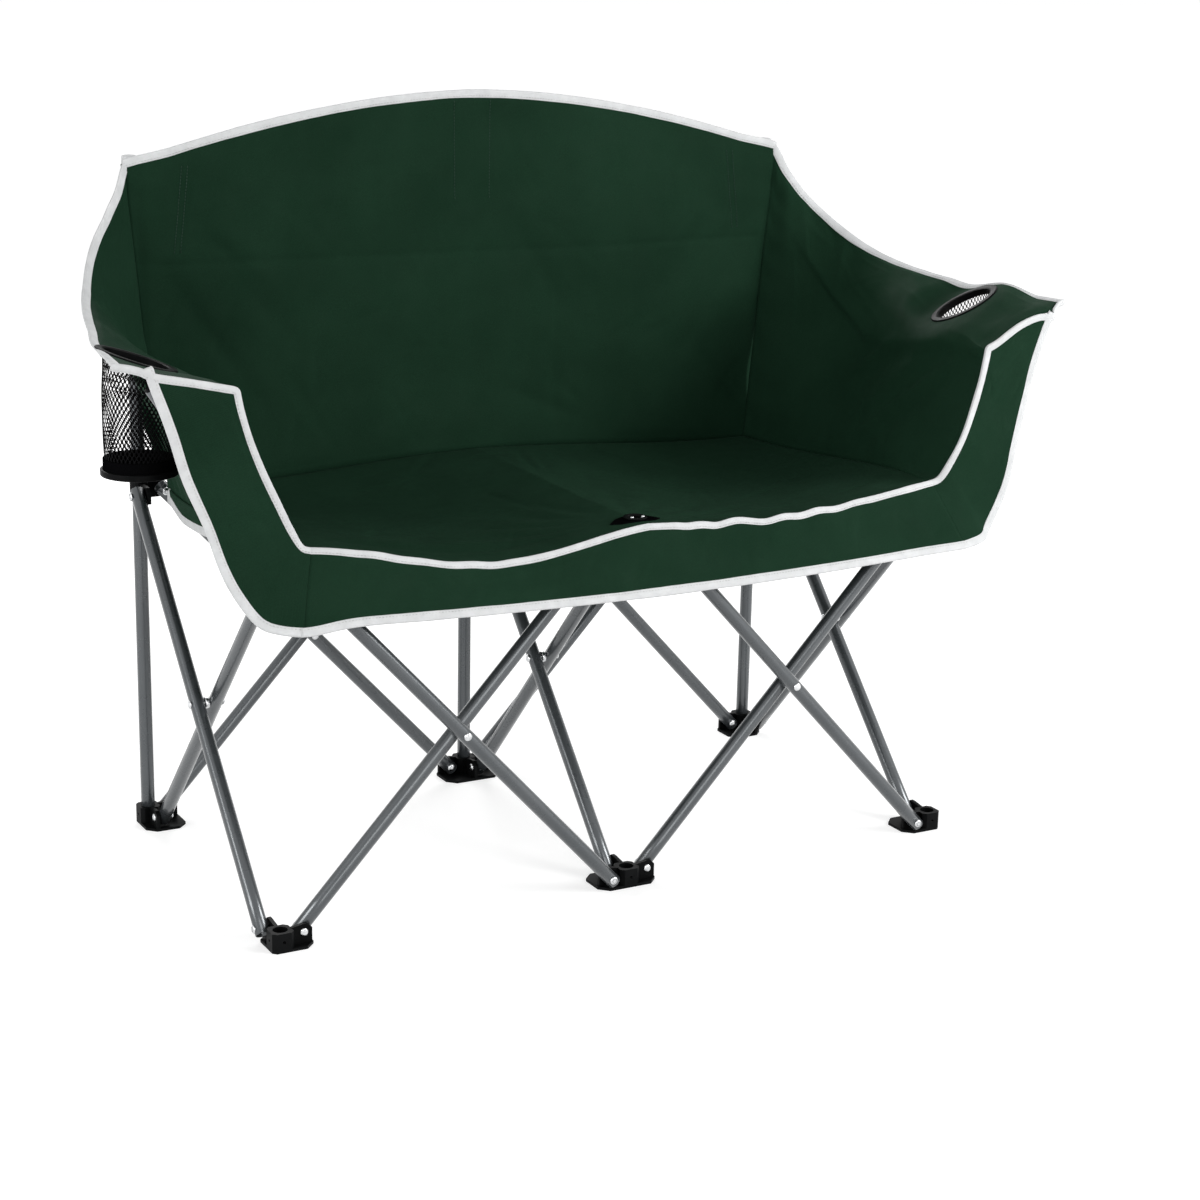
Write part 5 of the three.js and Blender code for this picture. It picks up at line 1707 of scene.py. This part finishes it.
u, v = grid(72, 36)
patch = closed_sheet("patch_cloth", patch_surface(2 * u - 1, 2 * v - 1), (0, 0, -1), WEBBING, PATCH_SKIN)
patch_z = float(patch_surface(np.array(0.0), np.array(0.0))[2])
cut_hole(patch, (0, FRONT_Y, patch_z), PATCH_HOLE_RADIUS - 1.5, (0.0, 0.0, 1.0), 10)
HEM_SHARES = (0.9, 0.84)  # how far out the patch's stitches run
rim = np.linspace(0, 4, 90, endpoint=False)
corner = (rim % 1) * 2 - 1
ones = np.ones_like(rim)
sides = [rim < 1, rim < 2, rim < 3]
a = np.select(sides, [corner, ones, -corner], -ones) * HEM_SHARES[0]
b = np.select(sides, [-ones, corner, ones], -corner) * HEM_SHARES[1]
line = patch_surface(a, b) + [0, 0, 0.2]
hem = stitch_row(line, np.tile([0.0, 0.0, 1.0], (len(rim), 1)), "patch_stitches", 2.2, 3.2, 0.4)
hem.data.materials[0] = WEBBING
# From the hole's radius and the patch's face
EYELET = ((-2.6, -3.2), (0.4, -3.2), (0.4, 0.2), (4.4, 0.2), (4.4, 1.2), (2.4, 2.1), (-0.6, 2.1), (-2.6, 0.6))
STUD = ((0, 1.2), (2.8, 1.2), (2.5, 2.4), (1.6, 3.2), (0, 3.4))
STUD_OFFSET = 8
STUD_FORWARD = 6
profile = rounded([(PATCH_HOLE_RADIUS + r, h) for r, h in EYELET], (4, 5, 6, 7), 0.5)
ring = lathe("patch_eyelet", profile, PLASTIC, 64, None, (0, FRONT_Y, patch_z))
studs = []
for word in ("left", "right"):
    at = (SIDES[word] * STUD_OFFSET, FRONT_Y - STUD_FORWARD, patch_z)
    studs.append(lathe(f"patch_stud_{word}", STUD, ZINC, HEAD_SIDES, None, at))
slots = ("zinc_rivet", "zinc_rivet", "black_webbing", "black_webbing", "black_plastic")
for piece, slot in zip([*studs, patch, hem, ring], slots):
    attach(piece, "front_middle_hub")
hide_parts("seat_patch")

# Cup holders: ring, net pocket and base
CUP_SIDES = 96
NET_COLUMNS = 48
NET_ROWS = 28
STRAND = 0.85
NET_SWELL = 1.6
NET_WAVE = 0.5
NET_HANG = 0.4  # share of its height over which the net turns from the leaning ring to the level base
NET_UNDER = 3  # of the net's top under the ring's middle


def net_pocket(name, centre, basis):
    """A net of crossing strands that hangs from the leaning ring to the level base."""
    across, back, up = basis
    vertices = []
    for j in range(NET_ROWS + 1):
        t = j / NET_ROWS
        hang = float(smooth(t, 0, NET_HANG))
        for i in range(NET_COLUMNS):
            turn = 2 * math.pi * (i + 0.5 * (j % 2)) / NET_COLUMNS
            cos, sin = math.cos(turn), math.sin(turn)
            high = (CUP_BORE_RADIUS + 1) * (cos * across + sin * back) - NET_UNDER * up
            swell = NET_SWELL * math.sin(math.pi * t) + NET_WAVE * math.sin(3 * turn + 5 * t)
            r = CUP_SLEEVE_RADIUS - 0.8 + swell * min(1, 4 * t, 4 * (1 - t))
            x, y = mix(high[0], r * cos, hang), mix(high[1], r * sin, hang)
            vertices.append((x, y, mix(high[2], -CUP_DEPTH, t)))
    vertices = np.array(vertices) + centre
    faces = []
    for j in range(NET_ROWS - 1):
        for i in range(NET_COLUMNS):
            left = i if j % 2 else (i - 1) % NET_COLUMNS
            right = (left + 1) % NET_COLUMNS
            first, second, third = (row * NET_COLUMNS for row in (j, j + 1, j + 2))
            faces.append((first + i, second + right, third + i, second + left))
    net = make_object(name, vertices, faces, NET)
    wire = net.modifiers.new("strands", "WIREFRAME")
    wire.thickness = STRAND * MM
    wire.use_even_offset = False
    wire.use_boundary = True
    smoothing = net.modifiers.new("round", "SUBSURF")
    smoothing.levels = smoothing.render_levels = 1
    return applied(net)


def turned(name, radius, height, profile, corners, rounding, material, centre):
    """An upright ring or disc whose profile is given from a radius and a height."""
    profile = rounded([(radius + r, height + h) for r, h in profile], corners, rounding)
    return lathe(name, profile, material, CUP_SIDES, None, centre)


# From the net's radius and its lower end, and from the base's radius and its lower face
HEM = ((-0.4, -2), (1.6, -2), (1.6, 13), (-0.4, 13))
BASE = (
    (-CUP_BASE_RADIUS, 2.4),
    (-12, 2.4),
    (-10, 0),
    (-1, 0),
    (0, 1),
    (0, 7.6),
    (-1.4, 8),
    (-3.2, 8),
    (-3.8, 5.6),
    (-CUP_BASE_RADIUS, 5.6),
)
for word in ("left", "right"):
    body = f"front_{word}_hub"
    centre, back, up = cup_place(word)
    basis = [np.cross(back, up), back, up]
    low = SEAT_GAP - CLOTH / 2
    profile = [
        (CUP_BORE_RADIUS, -CUP_COLLAR_DEPTH),
        (CUP_BORE_RADIUS + 2.4, -CUP_COLLAR_DEPTH),
        (CUP_BORE_RADIUS + 2.4, low),
        (CUP_RIM_RADIUS - 1, low),
        (CUP_RIM_RADIUS, low + 0.9),
        (CUP_RIM_RADIUS - 1.2, low + 2.7),
        (CUP_BORE_RADIUS + 3, low + 2.9),
        (CUP_BORE_RADIUS, low + 1.6),
    ]
    profile = rounded(profile, (0, 1, 4, 5, 6, 7), 0.6)
    ring = lathe(f"cup_rim_{word}", profile, PLASTIC, CUP_SIDES, basis, centre)
    net = net_pocket(f"cup_net_{word}", centre, basis)
    hem = turned(f"cup_hem_{word}", CUP_SLEEVE_RADIUS, -CUP_DEPTH, HEM, range(4), 0.8, WEBBING, centre)
    bottom = -CUP_DEPTH - CUP_BASE_THICKNESS - SEAT_GAP
    base = turned(f"cup_floor_{word}", CUP_BASE_RADIUS, bottom, BASE, range(2, 8), 0.4, PLASTIC, centre)
    for piece, slot, node_name in (
        (ring, "black_plastic", f"cup_ring_{word}"),
        (net, "black_net", f"cup_sleeve_{word}"),
        (hem, "black_net", None),
        (base, "black_plastic", f"cup_base_{word}"),
    ):
        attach(piece, body)
        if node_name:
            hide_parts(node_name)

bpy.context.view_layer.update()
